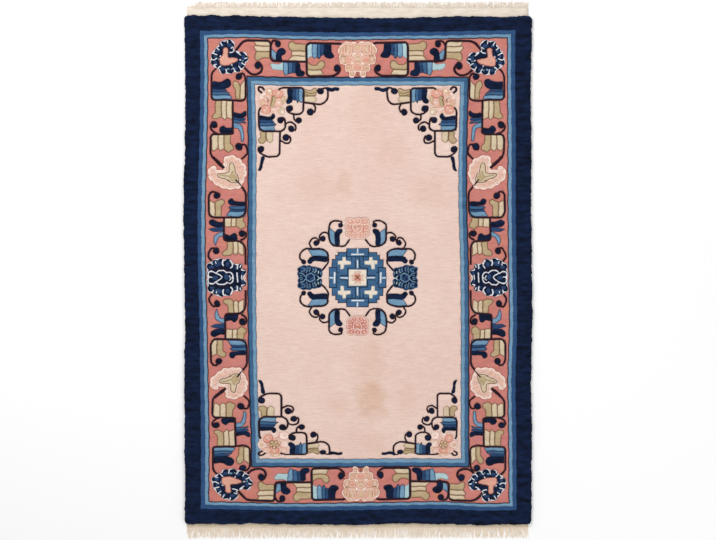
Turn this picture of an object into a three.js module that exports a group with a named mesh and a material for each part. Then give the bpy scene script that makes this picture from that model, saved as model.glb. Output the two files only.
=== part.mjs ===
// A hand-knotted Peking rug, four feet by six, lying flat. One slab of wool pile on its
// cotton foundation carries four carved lines that part the outer band, the guard
// stripes, the border and the field. At each end the foundation runs on as a flat-woven
// cotton web, and the web's warps run out of it as fringe.
// Millimetres. +X runs across the rug, +Y along it and +Z up. The rug lies on z = 0,
// with its centre over the origin.
import * as THREE from "three";
import { mergeVertices } from "three/addons/utils/BufferGeometryUtils.js";

// Driving sizes of the pile slab. Half sizes run from the rug's centre to its edge.
const PILE_HALF_WIDTH = 610;
const PILE_HALF_LENGTH = 891.5;
const RUG_THICKNESS = 12;
const CORNER_RADIUS = 14;
const LINE_CORNER_RADIUS = 1;

// The wall of the slab, from the floor up: how far in from the pile's widest reach.
const WALL_PROFILE = [
  { inset: 2.5, height: 0 },
  { inset: 2.5, height: 3.6 },
  { inset: 0, height: 6.5 },
  { inset: 0.8, height: 9.8 },
  { inset: 3, height: 11.5 },
  { inset: 7, height: 12 },
];

// The carved lines, each a rounded rectangle whose middle is cut down into the pile.
const CARVED_DEPTH = 1.6;
const CARVED_HALF_WIDTH = 2;
const CARVED_LINES = [
  // The navy band meets the outer guard.
  { halfWidth: 557, halfLength: 841 },
  // The outer guard meets the rose border.
  { halfWidth: 528, halfLength: 813.5 },
  // The rose border meets the inner guard.
  { halfWidth: 386.5, halfLength: 685 },
  // The inner guard meets the field.
  { halfWidth: 359, halfLength: 657 },
];

// The soft rise and fall of the pile's face, left by the shearing.
const SHEAR_WAVE = 0.35;
const SHEAR_WAVELENGTH = 460;

// A web and its fringe at each end. Depths and lengths run outwards along the rug.
const WEB_HALF_WIDTH = 600;
const WEB_THICKNESS = 3;
const GAP = 0.3;
const STRANDS = 120;
const STRAND_ROOT_WIDTH = 5.6;
const STRAND_TIP_WIDTH = 3.6;
const STRAND_TIP_THICKNESS = 1.8;
const TOP_END = { name: "web_fringe_top", side: 1, web: 30, fringe: 23, lean: -1.2 };
const BOTTOM_END = { name: "web_fringe_bottom", side: -1, web: 13.5, fringe: 39, lean: 2.4 };

// No line of a hand-knotted rug is ruled straight. Each row is a station along the rug,
// and each column after the first says how far, towards +X, that line has wandered there.
const SIDE_LINES_X = [-610, -543, -372, 372, 543, 610];
const SIDE_WANDER = [
  // y, left edge, left guard, left frame, right frame, right guard, right edge
  [-808, 2.8, 6, 13, 7, 2, 1.5],
  [-597, 1.8, 7, 13, 5, 1, 3],
  [-386, 1.3, 4, 6, 5, -2, 0.5],
  [-175, 2.8, 0, 2, 5, 4, 4],
  [36, -0.2, -6, 1, 3, 1, 3],
  [247, -2.7, -6, 2, -3, -1, 0.5],
  [458, 2.3, 0, 2, -2, -1, 1.5],
  [669, 3.3, 4, -3, 3, -3, -1.5],
  [845, 0.8, 3, -3, 3, -3, 2.5],
];

// The same for the lines across the rug: a row is a station across it, plus is +Y.
const END_LINES_Y = [-891.5, -827, -671, 671, 827, 891.5];
const END_WANDER = [
  // x, bottom edge, bottom guard, bottom frame, top frame, top guard, top edge
  [-554, -1.8, 2, -7, -4, 0, 3.7],
  [-396, -1.3, -2, -7, -4, 3, 3.2],
  [-238, -2.3, -5, -7, -8, -3, 0.2],
  [-44, -5.3, -3, -8, -7, -6, -2.3],
  [149, 0.2, 0, -6, -7, -3, -4.3],
  [290, -2.3, 2, -7, -7, -2, -1.3],
  [430, -4.3, -5, -8, -8, 1, 0.7],
  [553, -3.3, -3, -8, -8, 3, 2.2],
];

// How finely the outlines are stepped.
const CORNER_STEPS = 4;
const SIDE_STEPS = 22;
const END_STEPS = 15;

// Where a value lies between two neighbours of an ascending list: [index, fraction].
function placeIn(list, value) {
  const last = list.length - 2;
  let index = 0;
  while (index < last && value > list[index + 1]) index += 1;
  const fraction = (value - list[index]) / (list[index + 1] - list[index]);
  return [index, THREE.MathUtils.clamp(fraction, 0, 1)];
}

// A column of a wander table at a station, on a smooth curve through its rows.
function columnAt(rows, column, station) {
  const [index, t] = placeIn(rows.map((row) => row[0]), station);
  const value = (i) => rows[THREE.MathUtils.clamp(i, 0, rows.length - 1)][column];
  const [before, from, to, after] = [-1, 0, 1, 2].map((step) => value(index + step));
  const startSlope = (to - before) / 2;
  const endSlope = (after - from) / 2;
  const rise = to - from;
  const square = 3 * rise - 2 * startSlope - endSlope;
  const cube = startSlope + endSlope - 2 * rise;
  return from + t * (startSlope + t * (square + t * cube));
}

// How far a point of the ruled rug has wandered in one direction.
function wanderBetween(lines, rows, across, station) {
  const [line, fraction] = placeIn(lines, across);
  const first = columnAt(rows, line + 1, station);
  const second = columnAt(rows, line + 2, station);
  return THREE.MathUtils.lerp(first, second, fraction);
}

// The point of the real rug for a point of the ruled one.
function laid(x, y) {
  return new THREE.Vector2(
    x + wanderBetween(SIDE_LINES_X, SIDE_WANDER, x, y),
    y + wanderBetween(END_LINES_Y, END_WANDER, y, x),
  );
}

// The pile's height over the middle of its face.
function pileTop(x, y) {
  const turn = (2 * Math.PI) / SHEAR_WAVELENGTH;
  return RUG_THICKNESS + SHEAR_WAVE * Math.sin(turn * x) * Math.cos(turn * y * 0.8);
}

// A rounded rectangle, counter-clockwise, always with the same number of points.
function roundedRectangle(halfWidth, halfLength, radius) {
  const corners = [
    { x: halfWidth - radius, y: halfLength - radius, start: 0, steps: END_STEPS },
    { x: radius - halfWidth, y: halfLength - radius, start: 1, steps: SIDE_STEPS },
    { x: radius - halfWidth, y: radius - halfLength, start: 2, steps: END_STEPS },
    { x: halfWidth - radius, y: radius - halfLength, start: 3, steps: SIDE_STEPS },
  ];
  const arcPoint = (corner, step) => {
    const angle = (corner.start + step / CORNER_STEPS) * (Math.PI / 2);
    return new THREE.Vector2(
      corner.x + radius * Math.cos(angle),
      corner.y + radius * Math.sin(angle),
    );
  };
  return corners.flatMap((corner, i) => {
    const points = [];
    for (let step = 0; step <= CORNER_STEPS; step += 1) points.push(arcPoint(corner, step));
    const from = points.at(-1);
    const to = arcPoint(corners[(i + 1) % corners.length], 0);
    for (let step = 1; step < corner.steps; step += 1) {
      points.push(from.clone().lerp(to, step / corner.steps));
    }
    return points;
  });
}

// One ring of the slab: a laid outline at a height that may vary from point to point.
function ring(halfWidth, halfLength, radius, heightAt) {
  return roundedRectangle(halfWidth, halfLength, radius).map((ruled) => {
    const place = laid(ruled.x, ruled.y);
    return new THREE.Vector3(place.x, place.y, heightAt(place.x, place.y));
  });
}

// The wall's rings, from the floor up to the flat of the pile.
function wallRings() {
  return WALL_PROFILE.map(({ inset, height }) =>
    ring(
      PILE_HALF_WIDTH - inset,
      PILE_HALF_LENGTH - inset,
      CORNER_RADIUS - inset,
      (x, y) => height + (height / RUG_THICKNESS) ** 4 * (pileTop(x, y) - RUG_THICKNESS),
    ),
  );
}

// Three rings for each carved line: its outer shoulder, its bottom and its inner shoulder.
function carvedRings() {
  return CARVED_LINES.flatMap(({ halfWidth, halfLength }) =>
    [1, 0, -1].map((offset) =>
      ring(
        halfWidth + offset * CARVED_HALF_WIDTH,
        halfLength + offset * CARVED_HALF_WIDTH,
        LINE_CORNER_RADIUS,
        (x, y) => pileTop(x, y) - (offset === 0 ? CARVED_DEPTH : 0),
      ),
    ),
  );
}

// A closed skin over rings of equal length, with a flat cap on the first and the last.
function loft(rings) {
  const count = rings[0].length;
  const positions = rings.flat().flatMap((point) => point.toArray());
  const faces = [];
  for (let k = 0; k + 1 < rings.length; k += 1) {
    for (let i = 0; i < count; i += 1) {
      const next = (i + 1) % count;
      const [a, b] = [k * count + i, k * count + next];
      faces.push(a, b, b + count, a, b + count, a + count);
    }
  }
  const cap = (points) => THREE.ShapeUtils.triangulateShape(points, []);
  const lastStart = (rings.length - 1) * count;
  for (const [a, b, c] of cap(rings[0])) faces.push(a, c, b);
  for (const [a, b, c] of cap(rings.at(-1))) {
    faces.push(lastStart + a, lastStart + b, lastStart + c);
  }
  const geometry = new THREE.BufferGeometry();
  geometry.setAttribute("position", new THREE.Float32BufferAttribute(positions, 3));
  geometry.setIndex(faces);
  geometry.computeVertexNormals();
  return geometry;
}

// A smooth, uneven number between -1 and 1 for the strand at an index.
function unevenness(index, seed) {
  return Math.sin(2.4 * index + seed) * Math.sin(0.71 * index + 2 * seed);
}

// One strand of fringe in plan, from one side of its root round the tip to the other.
function strandOutline(end, index, webEdge) {
  const pitch = (2 * WEB_HALF_WIDTH) / STRANDS;
  const middle = -WEB_HALF_WIDTH + (index + 0.5) * pitch;
  const length = end.fringe * (0.93 + 0.07 * unevenness(index, 1));
  const sway = end.lean + 1.6 * unevenness(index, 2);
  const bend = 0.35 * sway + 0.8 * unevenness(index, 3);
  const tipY = webEdge + end.side * length;
  const midY = webEdge + end.side * length * 0.55;
  const rootHalf = STRAND_ROOT_WIDTH / 2;
  const tipHalf = STRAND_TIP_WIDTH / 2;
  const midHalf = (rootHalf + tipHalf) / 2;
  return [
    new THREE.Vector2(middle - rootHalf, webEdge),
    new THREE.Vector2(middle + bend - midHalf, midY),
    new THREE.Vector2(middle + sway - tipHalf, tipY),
    new THREE.Vector2(middle + sway + tipHalf, tipY),
    new THREE.Vector2(middle + bend + midHalf, midY),
    new THREE.Vector2(middle + rootHalf, webEdge),
  ];
}

// The foot of the pile along one end, from right to left, moved out by the gap.
function footOfPile(side) {
  const { inset } = WALL_PROFILE[0];
  const halfLength = PILE_HALF_LENGTH - inset;
  const ruled = roundedRectangle(PILE_HALF_WIDTH - inset, halfLength, CORNER_RADIUS - inset);
  return ruled
    .filter((point) => side * point.y > halfLength - GAP)
    .filter((point) => Math.abs(point.x) < WEB_HALF_WIDTH + GAP)
    .map((point) => laid(point.x, point.y))
    .sort((a, b) => b.x - a.x)
    .map((point) => new THREE.Vector2(point.x, point.y + side * GAP));
}

// The web with its fringe: a comb in plan whose strands thin out towards their tips.
function fringedWeb(end) {
  const webEdge = end.side * (PILE_HALF_LENGTH + end.web);
  const foot = footOfPile(end.side);
  const outline = [
    new THREE.Vector2(WEB_HALF_WIDTH, foot[0].y),
    ...foot,
    new THREE.Vector2(-WEB_HALF_WIDTH, foot.at(-1).y),
    new THREE.Vector2(-WEB_HALF_WIDTH, webEdge),
  ];
  for (let index = 0; index < STRANDS; index += 1) {
    outline.push(...strandOutline(end, index, webEdge));
  }
  outline.push(new THREE.Vector2(WEB_HALF_WIDTH, webEdge));

  const comb = new THREE.ExtrudeGeometry(new THREE.Shape(outline), {
    depth: WEB_THICKNESS,
    bevelEnabled: false,
  });
  comb.deleteAttribute("normal");
  comb.deleteAttribute("uv");
  const geometry = mergeVertices(comb);
  const position = geometry.getAttribute("position");
  for (let i = 0; i < position.count; i += 1) {
    if (position.getZ(i) === 0) continue;
    const out = end.side * (position.getY(i) - webEdge);
    const fraction = THREE.MathUtils.clamp(out / end.fringe, 0, 1);
    position.setZ(i, THREE.MathUtils.lerp(WEB_THICKNESS, STRAND_TIP_THICKNESS, fraction));
  }
  geometry.computeVertexNormals();
  return geometry;
}

const pileWool = new THREE.MeshStandardMaterial({
  name: "pile wool",
  color: 0xe3c8b8,
  roughness: 0.95,
  metalness: 0,
});

const webCotton = new THREE.MeshStandardMaterial({
  name: "web cotton",
  color: 0xe8dccb,
  roughness: 0.9,
  metalness: 0,
});

function named(name, geometry, material) {
  const mesh = new THREE.Mesh(geometry, material);
  mesh.name = name;
  return mesh;
}

const rug = new THREE.Group();
rug.add(named("rug_pile", loft([...wallRings(), ...carvedRings()]), pileWool));
for (const end of [TOP_END, BOTTOM_END]) {
  rug.add(named(end.name, fringedWeb(end), webCotton));
}

export default rug;
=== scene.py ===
"""A hand-knotted Peking rug: carved wool pile on a cotton foundation, with fringed webs."""
import math

import bpy
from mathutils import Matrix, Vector, noise
from mathutils.geometry import delaunay_2d_cdt
from mathutils.kdtree import KDTree


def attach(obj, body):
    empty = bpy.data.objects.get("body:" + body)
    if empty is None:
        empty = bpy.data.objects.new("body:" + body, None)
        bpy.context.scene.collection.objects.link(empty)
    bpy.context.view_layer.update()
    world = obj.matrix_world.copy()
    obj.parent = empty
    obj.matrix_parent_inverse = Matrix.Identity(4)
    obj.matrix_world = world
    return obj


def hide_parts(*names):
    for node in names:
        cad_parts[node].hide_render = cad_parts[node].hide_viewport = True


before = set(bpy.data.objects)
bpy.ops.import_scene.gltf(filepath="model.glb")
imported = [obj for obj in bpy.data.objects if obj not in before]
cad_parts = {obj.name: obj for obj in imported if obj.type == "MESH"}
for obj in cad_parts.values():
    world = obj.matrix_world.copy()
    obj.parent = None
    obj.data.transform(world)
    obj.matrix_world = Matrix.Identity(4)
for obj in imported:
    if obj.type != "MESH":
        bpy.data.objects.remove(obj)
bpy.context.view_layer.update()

# noise_vector starts from the clock unless a seed is set, so one is, for the same result on each run.
NOISE_SEED = 1
noise.seed_set(NOISE_SEED)

MM = 0.001

# The motifs are drawn on a chart. The side of one of its squares and the height of its middle, mm.
SQUARE = 3.516
MIRROR_Y = -26.4

# Half sizes of the ruled lines, mm, as in the carved model.
PILE_HALF = (610, 891.5)
NAVY_LINE = (557, 841)
OUTER_MID = (543, 827)
OUTER_LINE = (528, 813.5)
INNER_LINE = (386.5, 685)
INNER_MID = (372, 671)
FIELD_LINE = (359, 657)
LINE_CORNER_RADIUS = 1

# How far the upright lines wander across, mm: at each height, one value for each line.
SIDE_LINES_X = (-610, -543, -372, 372, 543, 610)
SIDE_WANDER = (
    (-808, 2.8, 6, 13, 7, 2, 1.5),
    (-597, 1.8, 7, 13, 5, 1, 3),
    (-386, 1.3, 4, 6, 5, -2, 0.5),
    (-175, 2.8, 0, 2, 5, 4, 4),
    (36, -0.2, -6, 1, 3, 1, 3),
    (247, -2.7, -6, 2, -3, -1, 0.5),
    (458, 2.3, 0, 2, -2, -1, 1.5),
    (669, 3.3, 4, -3, 3, -3, -1.5),
    (845, 0.8, 3, -3, 3, -3, 2.5),
)
# The same for the level lines: at each place across, how far each of them wanders up.
END_LINES_Y = (-891.5, -827, -671, 671, 827, 891.5)
END_WANDER = (
    (-554, -1.8, 2, -7, -4, 0, 3.7),
    (-396, -1.3, -2, -7, -4, 3, 3.2),
    (-238, -2.3, -5, -7, -8, -3, 0.2),
    (-44, -5.3, -3, -8, -7, -6, -2.3),
    (149, 0.2, 0, -6, -7, -3, -4.3),
    (290, -2.3, 2, -7, -7, -2, -1.3),
    (430, -4.3, -5, -8, -8, 1, 0.7),
    (553, -3.3, -3, -8, -8, 3, 2.2),
)


def smooth_between(a, b, c, d, t):
    """Part way from b to c on a smooth curve that runs through all four."""
    return 0.5 * (
        2 * b + (c - a) * t + (2 * a - 5 * b + 4 * c - d) * t * t + (3 * b - a - 3 * c + d) * t ** 3
    )


def column_at(table, column, along):
    """One line's wander at a station between those of its table."""
    stations = [row[0] for row in table]
    along = min(max(along, stations[0]), stations[-1])
    i = max(k for k in range(len(stations) - 1) if stations[k] <= along)
    last = len(table) - 1
    near = (table[min(max(k, 0), last)][column] for k in (i - 1, i, i + 1, i + 2))
    return smooth_between(*near, (along - stations[i]) / (stations[i + 1] - stations[i]))


def wander_between(lines, table, across, along):
    """The wander at a place between two ruled lines."""
    across = min(max(across, lines[0]), lines[-1])
    i = max(k for k in range(len(lines) - 1) if lines[k] <= across)
    t = (across - lines[i]) / (lines[i + 1] - lines[i])
    return (1 - t) * column_at(table, i + 1, along) + t * column_at(table, i + 2, along)


def laid(x, y):
    """Where a point of the ruled plan lies on the rug as it was laid."""
    return (
        x + wander_between(SIDE_LINES_X, SIDE_WANDER, x, y),
        y + wander_between(END_LINES_Y, END_WANDER, y, x),
    )


def interpolate(value, stations, row):
    """Piecewise straight, and carried on past both ends."""
    k = 0
    while k < len(stations) - 2 and value > stations[k + 1]:
        k += 1
    t = (value - stations[k]) / (stations[k + 1] - stations[k])
    return row[k] + t * (row[k + 1] - row[k])


# Where the same places of the pattern fall in each quarter: squares from the middle.
END_STATIONS = (0, 51, 86.7, 128.6, 150)
SIDE_STATIONS = (0, 35.8, 60, 104.9, 143.2, 177.1, 200, 238.5)
FIELD_X_STATIONS = (18.6, 29.5, 53.6, 101.6)
FIELD_Y_STATIONS = (107, 176.6, 194)
UPPER = dict(y=1, side=SIDE_STATIONS, field_y=FIELD_Y_STATIONS)
LOWER = dict(y=-1, side=(0, 35.2, 61.6, 106.4, 139.6, 168.3, 189.3, 224.5), field_y=(103, 167, 180))
QUARTERS = (
    dict(UPPER, x=-1, end=END_STATIONS, field_x=FIELD_X_STATIONS),
    dict(UPPER, x=1, end=(0, 50.4, 87.6, 132.1, 150), field_x=(17.3, 29.4, 52.9, 101.6)),
    dict(LOWER, x=-1, end=(-3.3, 45.8, 82.5, 127, 150), field_x=(15.7, 27.8, 50.2, 101.6)),
    dict(LOWER, x=1, end=(3.3, 52.4, 90.8, 133.3, 150), field_x=(24.2, 35.7, 57.5, 101.6)),
)
# Squares across a side border and across an end border.
BORDER_SQUARES = (40.8, 38.3)


def border_at(quarter, axis, across):
    """So many squares in from the outer line: of a side border on axis 0, of an end border on 1."""
    width = OUTER_LINE[axis] - INNER_LINE[axis]
    return quarter["xy"[axis]] * (OUTER_LINE[axis] - width * across / BORDER_SQUARES[axis])


def end_zone(quarter):
    """Squares along the end border from its middle, and in from its outer line."""
    def place(along, across):
        x = quarter["x"] * SQUARE * interpolate(along, END_STATIONS, quarter["end"])
        return x, laid(x, border_at(quarter, 1, across))[1]
    return place


def side_zone(quarter):
    """Squares along the side border from its middle, and in from its outer line."""
    def place(along, across):
        y = MIRROR_Y + quarter["y"] * SQUARE * interpolate(along, SIDE_STATIONS, quarter["side"])
        return laid(border_at(quarter, 0, across), y)[0], y
    return place


def corner_zone(quarter):
    """Squares in from the side and in from the end."""
    def place(from_side, from_end):
        return laid(border_at(quarter, 0, from_side), border_at(quarter, 1, from_end))
    return place


def field_zone(quarter):
    """Squares out and up from the middle, to where this quarter's corner flower lies."""
    def place(out, up):
        x = quarter["x"] * SQUARE * interpolate(out, FIELD_X_STATIONS, quarter["field_x"])
        y = MIRROR_Y + quarter["y"] * SQUARE * interpolate(up, FIELD_Y_STATIONS, quarter["field_y"])
        return x, y
    return place


def middle_zone(quarter):
    """Squares out and up from the middle."""
    def place(out, up):
        return quarter["x"] * SQUARE * out, MIRROR_Y + quarter["y"] * SQUARE * up
    return place


def joined(zone, ahead, behind):
    """One place over two quarters, the second taking what lies behind the middle."""
    first, second = zone(ahead), zone(behind)

    def place(along, across):
        return first(along, across) if along >= 0 else second(-along, across)
    return place


# Curves, all in chart squares. Their points lie about a step apart.
STEP = 1.0


def sides(outline):
    """Each point of a closed outline with the next one."""
    return zip(outline, outline[1:] + outline[:1])


def area_of(outline):
    return 0.5 * sum(p[0] * q[1] - q[0] * p[1] for p, q in sides(outline))


def bend(points, closed=False):
    """A smooth curve through the points."""
    n = len(points)
    out = []
    for k in range(n if closed else n - 1):
        near = [points[i % n] if closed else points[min(max(i, 0), n - 1)] for i in (k - 1, k, k + 1, k + 2)]
        steps = max(2, round(math.dist(near[1], near[2]) / STEP))
        for s in range(steps):
            out.append(tuple(smooth_between(*row, s / steps) for row in zip(*near)))
    if not closed:
        out.append(tuple(points[-1]))
    return out


def towards(corner, other, by):
    """The point so far from a corner on the way to another."""
    length = math.dist(corner, other)
    return tuple(c + (p - c) * by / length for c, p in zip(corner, other))


def arc(start, corner, end, steps):
    """The curve that rounds a corner off."""
    out = []
    for s in range(steps + 1):
        t = s / steps
        out.append(tuple(
            (1 - t) ** 2 * p + 2 * t * (1 - t) * c + t * t * q for p, c, q in zip(start, corner, end)
        ))
    return out


def rounded(points, radius):
    """Straight runs joined by arcs."""
    out = [tuple(points[0])]
    for before, corner, after in zip(points, points[1:], points[2:]):
        cut = min(radius, 0.5 * math.dist(before, corner), 0.5 * math.dist(corner, after))
        steps = max(2, round(1.4 * cut / STEP))
        out += arc(towards(corner, before, cut), corner, towards(corner, after, cut), steps)
    out.append(tuple(points[-1]))
    return out


def spaced(points):
    """The same line with more points along its straight runs."""
    out = [points[0]]
    for p, q in zip(points, points[1:]):
        count = max(1, round(math.dist(p, q) / (2.5 * STEP)))
        out += [tuple(a + (b - a) * s / count for a, b in zip(p, q)) for s in range(1, count + 1)]
    return out


def softened(points, radius):
    """A closed outline with its corners rounded off."""
    out = []
    for before, corner, after in zip(points[-1:] + points[:-1], points, points[1:] + points[:1]):
        start, end = (
            towards(corner, other, min(radius, 0.48 * math.dist(corner, other))) for other in (before, after)
        )
        out += arc(start, corner, end, 3)
    return spaced(out + [out[0]])[:-1]


def ellipse(centre, rx, ry, count=14):
    turns = [2 * math.pi * k / count for k in range(count)]
    return [(centre[0] + rx * math.cos(turn), centre[1] + ry * math.sin(turn)) for turn in turns]


def normals(points, closed):
    n = len(points)
    out = []
    for k in range(n):
        p = points[(k - 1) % n] if closed or k > 0 else points[0]
        q = points[(k + 1) % n] if closed or k < n - 1 else points[-1]
        d = math.dist(p, q) or 1
        out.append(((q[1] - p[1]) / d, (p[0] - q[0]) / d))
    return out


def offset(points, by):
    """A closed outline grown by so many squares."""
    points = list(points)
    by = by if area_of(points) > 0 else -by
    return [(p[0] + by * n[0], p[1] + by * n[1]) for p, n in zip(points, normals(points, True))]


def scalloped(outline, count, depth):
    """The outline swelled into so many small lobes."""
    lengths = [0]
    for p, q in sides(outline):
        lengths.append(lengths[-1] + math.dist(p, q))
    depth = depth if area_of(outline) > 0 else -depth
    out = []
    for p, n, along in zip(outline, normals(outline, True), lengths):
        swell = depth * abs(math.sin(math.pi * count * along / lengths[-1]))
        out.append((p[0] + swell * n[0], p[1] + swell * n[1]))
    return out


def crossing(p, q, r, s):
    """Where two straight pieces cross, if they do."""
    if max(p[0], q[0]) < min(r[0], s[0]) or max(r[0], s[0]) < min(p[0], q[0]):
        return None
    ux, uy, vx, vy = q[0] - p[0], q[1] - p[1], s[0] - r[0], s[1] - r[1]
    d = ux * vy - uy * vx
    if not d:
        return None
    t = ((r[0] - p[0]) * vy - (r[1] - p[1]) * vx) / d
    u = ((r[0] - p[0]) * uy - (r[1] - p[1]) * ux) / d
    return (p[0] + t * ux, p[1] + t * uy) if 0 < t < 1 and 0 < u < 1 else None


def untangled(points, reach=24):
    """A closed outline with the small loops it makes at its tight turns cut off."""
    i = 0
    while i < len(points) and len(points) > 4:
        n = len(points)
        for j in range(min(i + reach, i + n - 2), i + 1, -1):
            met = crossing(points[i], points[(i + 1) % n], points[j % n], points[(j + 1) % n])
            if met:
                if j < n:
                    points = points[:i + 1] + [met] + points[j + 1:]
                else:
                    points = points[(j + 1) % n:i + 1] + [met]
                    i = 0
                break
        else:
            i += 1
    return points


def ribbon(points, width, ends=(1, 1)):
    """The outline of a stroke of a width, its ends narrowed."""
    half = [0.5 * width] * len(points)
    half[0] *= ends[0]
    half[-1] *= ends[1]
    ns = normals(points, False)
    left = [(p[0] + h * m[0], p[1] + h * m[1]) for p, m, h in zip(points, ns, half)]
    right = [(p[0] - h * m[0], p[1] - h * m[1]) for p, m, h in zip(points, ns, half)]
    return left + right[::-1]


# Each patch of the design, its yarn and its outline in mm, painted in this order.
shapes = []


# Widths, in squares: the dark vines, those of the end borders, a bud's rim and the seams of leaves.
INK = 1.85
END_INK = 2.15
BUD_RIM = 1.1
SEAM_OUT, SEAM_IN = 0.15, 0.32
PETAL_SEAM = 0.35
# How far the outlines sway, mm: in long waves and in short ones.
LONG_SWAY, SHORT_SWAY = 0.8, 0.4


def hand(x, y):
    """No line of a hand-knotted pile is quite true: a knot more here, one less there."""
    sway_x = LONG_SWAY * math.sin(0.11 * y + 0.03 * x) + SHORT_SWAY * math.sin(0.47 * y - 0.13 * x + 2)
    sway_y = LONG_SWAY * math.sin(0.12 * x - 0.04 * y + 1) + SHORT_SWAY * math.sin(0.43 * x + 0.15 * y + 4)
    return x + sway_x, y + sway_y


def patch(place, yarn, outline):
    """Adds one patch of a yarn, its outline given in a place's squares."""
    shapes.append((yarn, untangled([hand(*place(*p)) for p in outline])))


def xy(*flat, sx=1, sy=1):
    """The points of a row that gives them across and up in turn, stretched or mirrored."""
    return [(a * sx, b * sy) for a, b in zip(flat[::2], flat[1::2])]


def stroke(place, yarn, width, start, end, *points, sx=1, sy=1):
    """A line of one yarn, its two ends narrowed to these parts of its width."""
    patch(place, yarn, ribbon(bend(xy(*points, sx=sx, sy=sy)), width, (start, end)))


def strokes(place, rows, sx=1, sy=1):
    for row in rows:
        stroke(place, *row, sx=sx, sy=sy)


def vines(place, rows):
    """Dark vines: the radius of a vine's turns, its width and its corners."""
    for radius, width, *points in rows:
        patch(place, "ink", ribbon(rounded(xy(*points), radius), width))


def dots(place, yarn, rows, sx=1, sy=1):
    """Small ellipses: middle and half sizes."""
    for x, y, rx, ry in rows:
        patch(place, yarn, ellipse((x * sx, y * sy), rx, ry, 9))


def buds(place, rows):
    """Round navy buds with a dark rim: middle and half sizes."""
    for x, y, rx, *ry in rows:
        for yarn, inset, count in (("ink", 0, 14), ("navy", BUD_RIM, 10)):
            patch(place, yarn, ellipse((x, y), rx - inset, (ry or [rx])[0] - inset, count))


def frills(place, outline, rows):
    """An outline in several yarns, each grown by so much and swelled into lobes of a depth."""
    for yarn, by, lobes, depth in rows:
        patch(place, yarn, scalloped(offset(outline, by), lobes, depth))


# Each kind of leaf: its yarn, the yarn of its seam, and how far its corners are rounded if they are.
LEAF_KINDS = {
    "cream": ("cream", "brown", 0.8),
    "pale": ("cream", "tan", 0.8),
    "tan": ("tan", "brown", 0.8),
    "ice": ("ice", None, 0.8),
    "light": ("light", "deep", 0.8),
    "mid": ("mid", "navy", 0.8),
    "deep": ("deep", None, 0.8),
    "navy": ("navy", None, 2.2),
    "bud": ("navy", None, None),
}


def leaves(place, rows):
    """The lobes of the fans, each a kind and its corners."""
    for kind, *corners in rows:
        yarn, seam, radius = LEAF_KINDS[kind]
        outline = softened(xy(*corners), radius) if radius else bend(xy(*corners), True)
        if seam:
            patch(place, seam, offset(outline, SEAM_OUT))
            outline = offset(outline, -SEAM_IN)
        patch(place, yarn, outline)


def petal(place, fill, inner, points):
    """A petal of one yarn with its middle in another and a coral seam round it."""
    outline = bend(points, True)
    patch(place, "coral", offset(outline, PETAL_SEAM))
    patch(place, fill, outline)
    cx = sum(p[0] for p in outline) / len(outline)
    cy = sum(p[1] for p in outline) / len(outline)
    patch(place, inner, [(cx + 0.58 * (x - cx), cy + 0.58 * (y - cy)) for x, y in outline])


def mirrored(points):
    """A closed outline from its half: its middle points lie at zero along."""
    return list(points) + [(-a, b) for a, b in reversed(points) if a]


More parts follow.
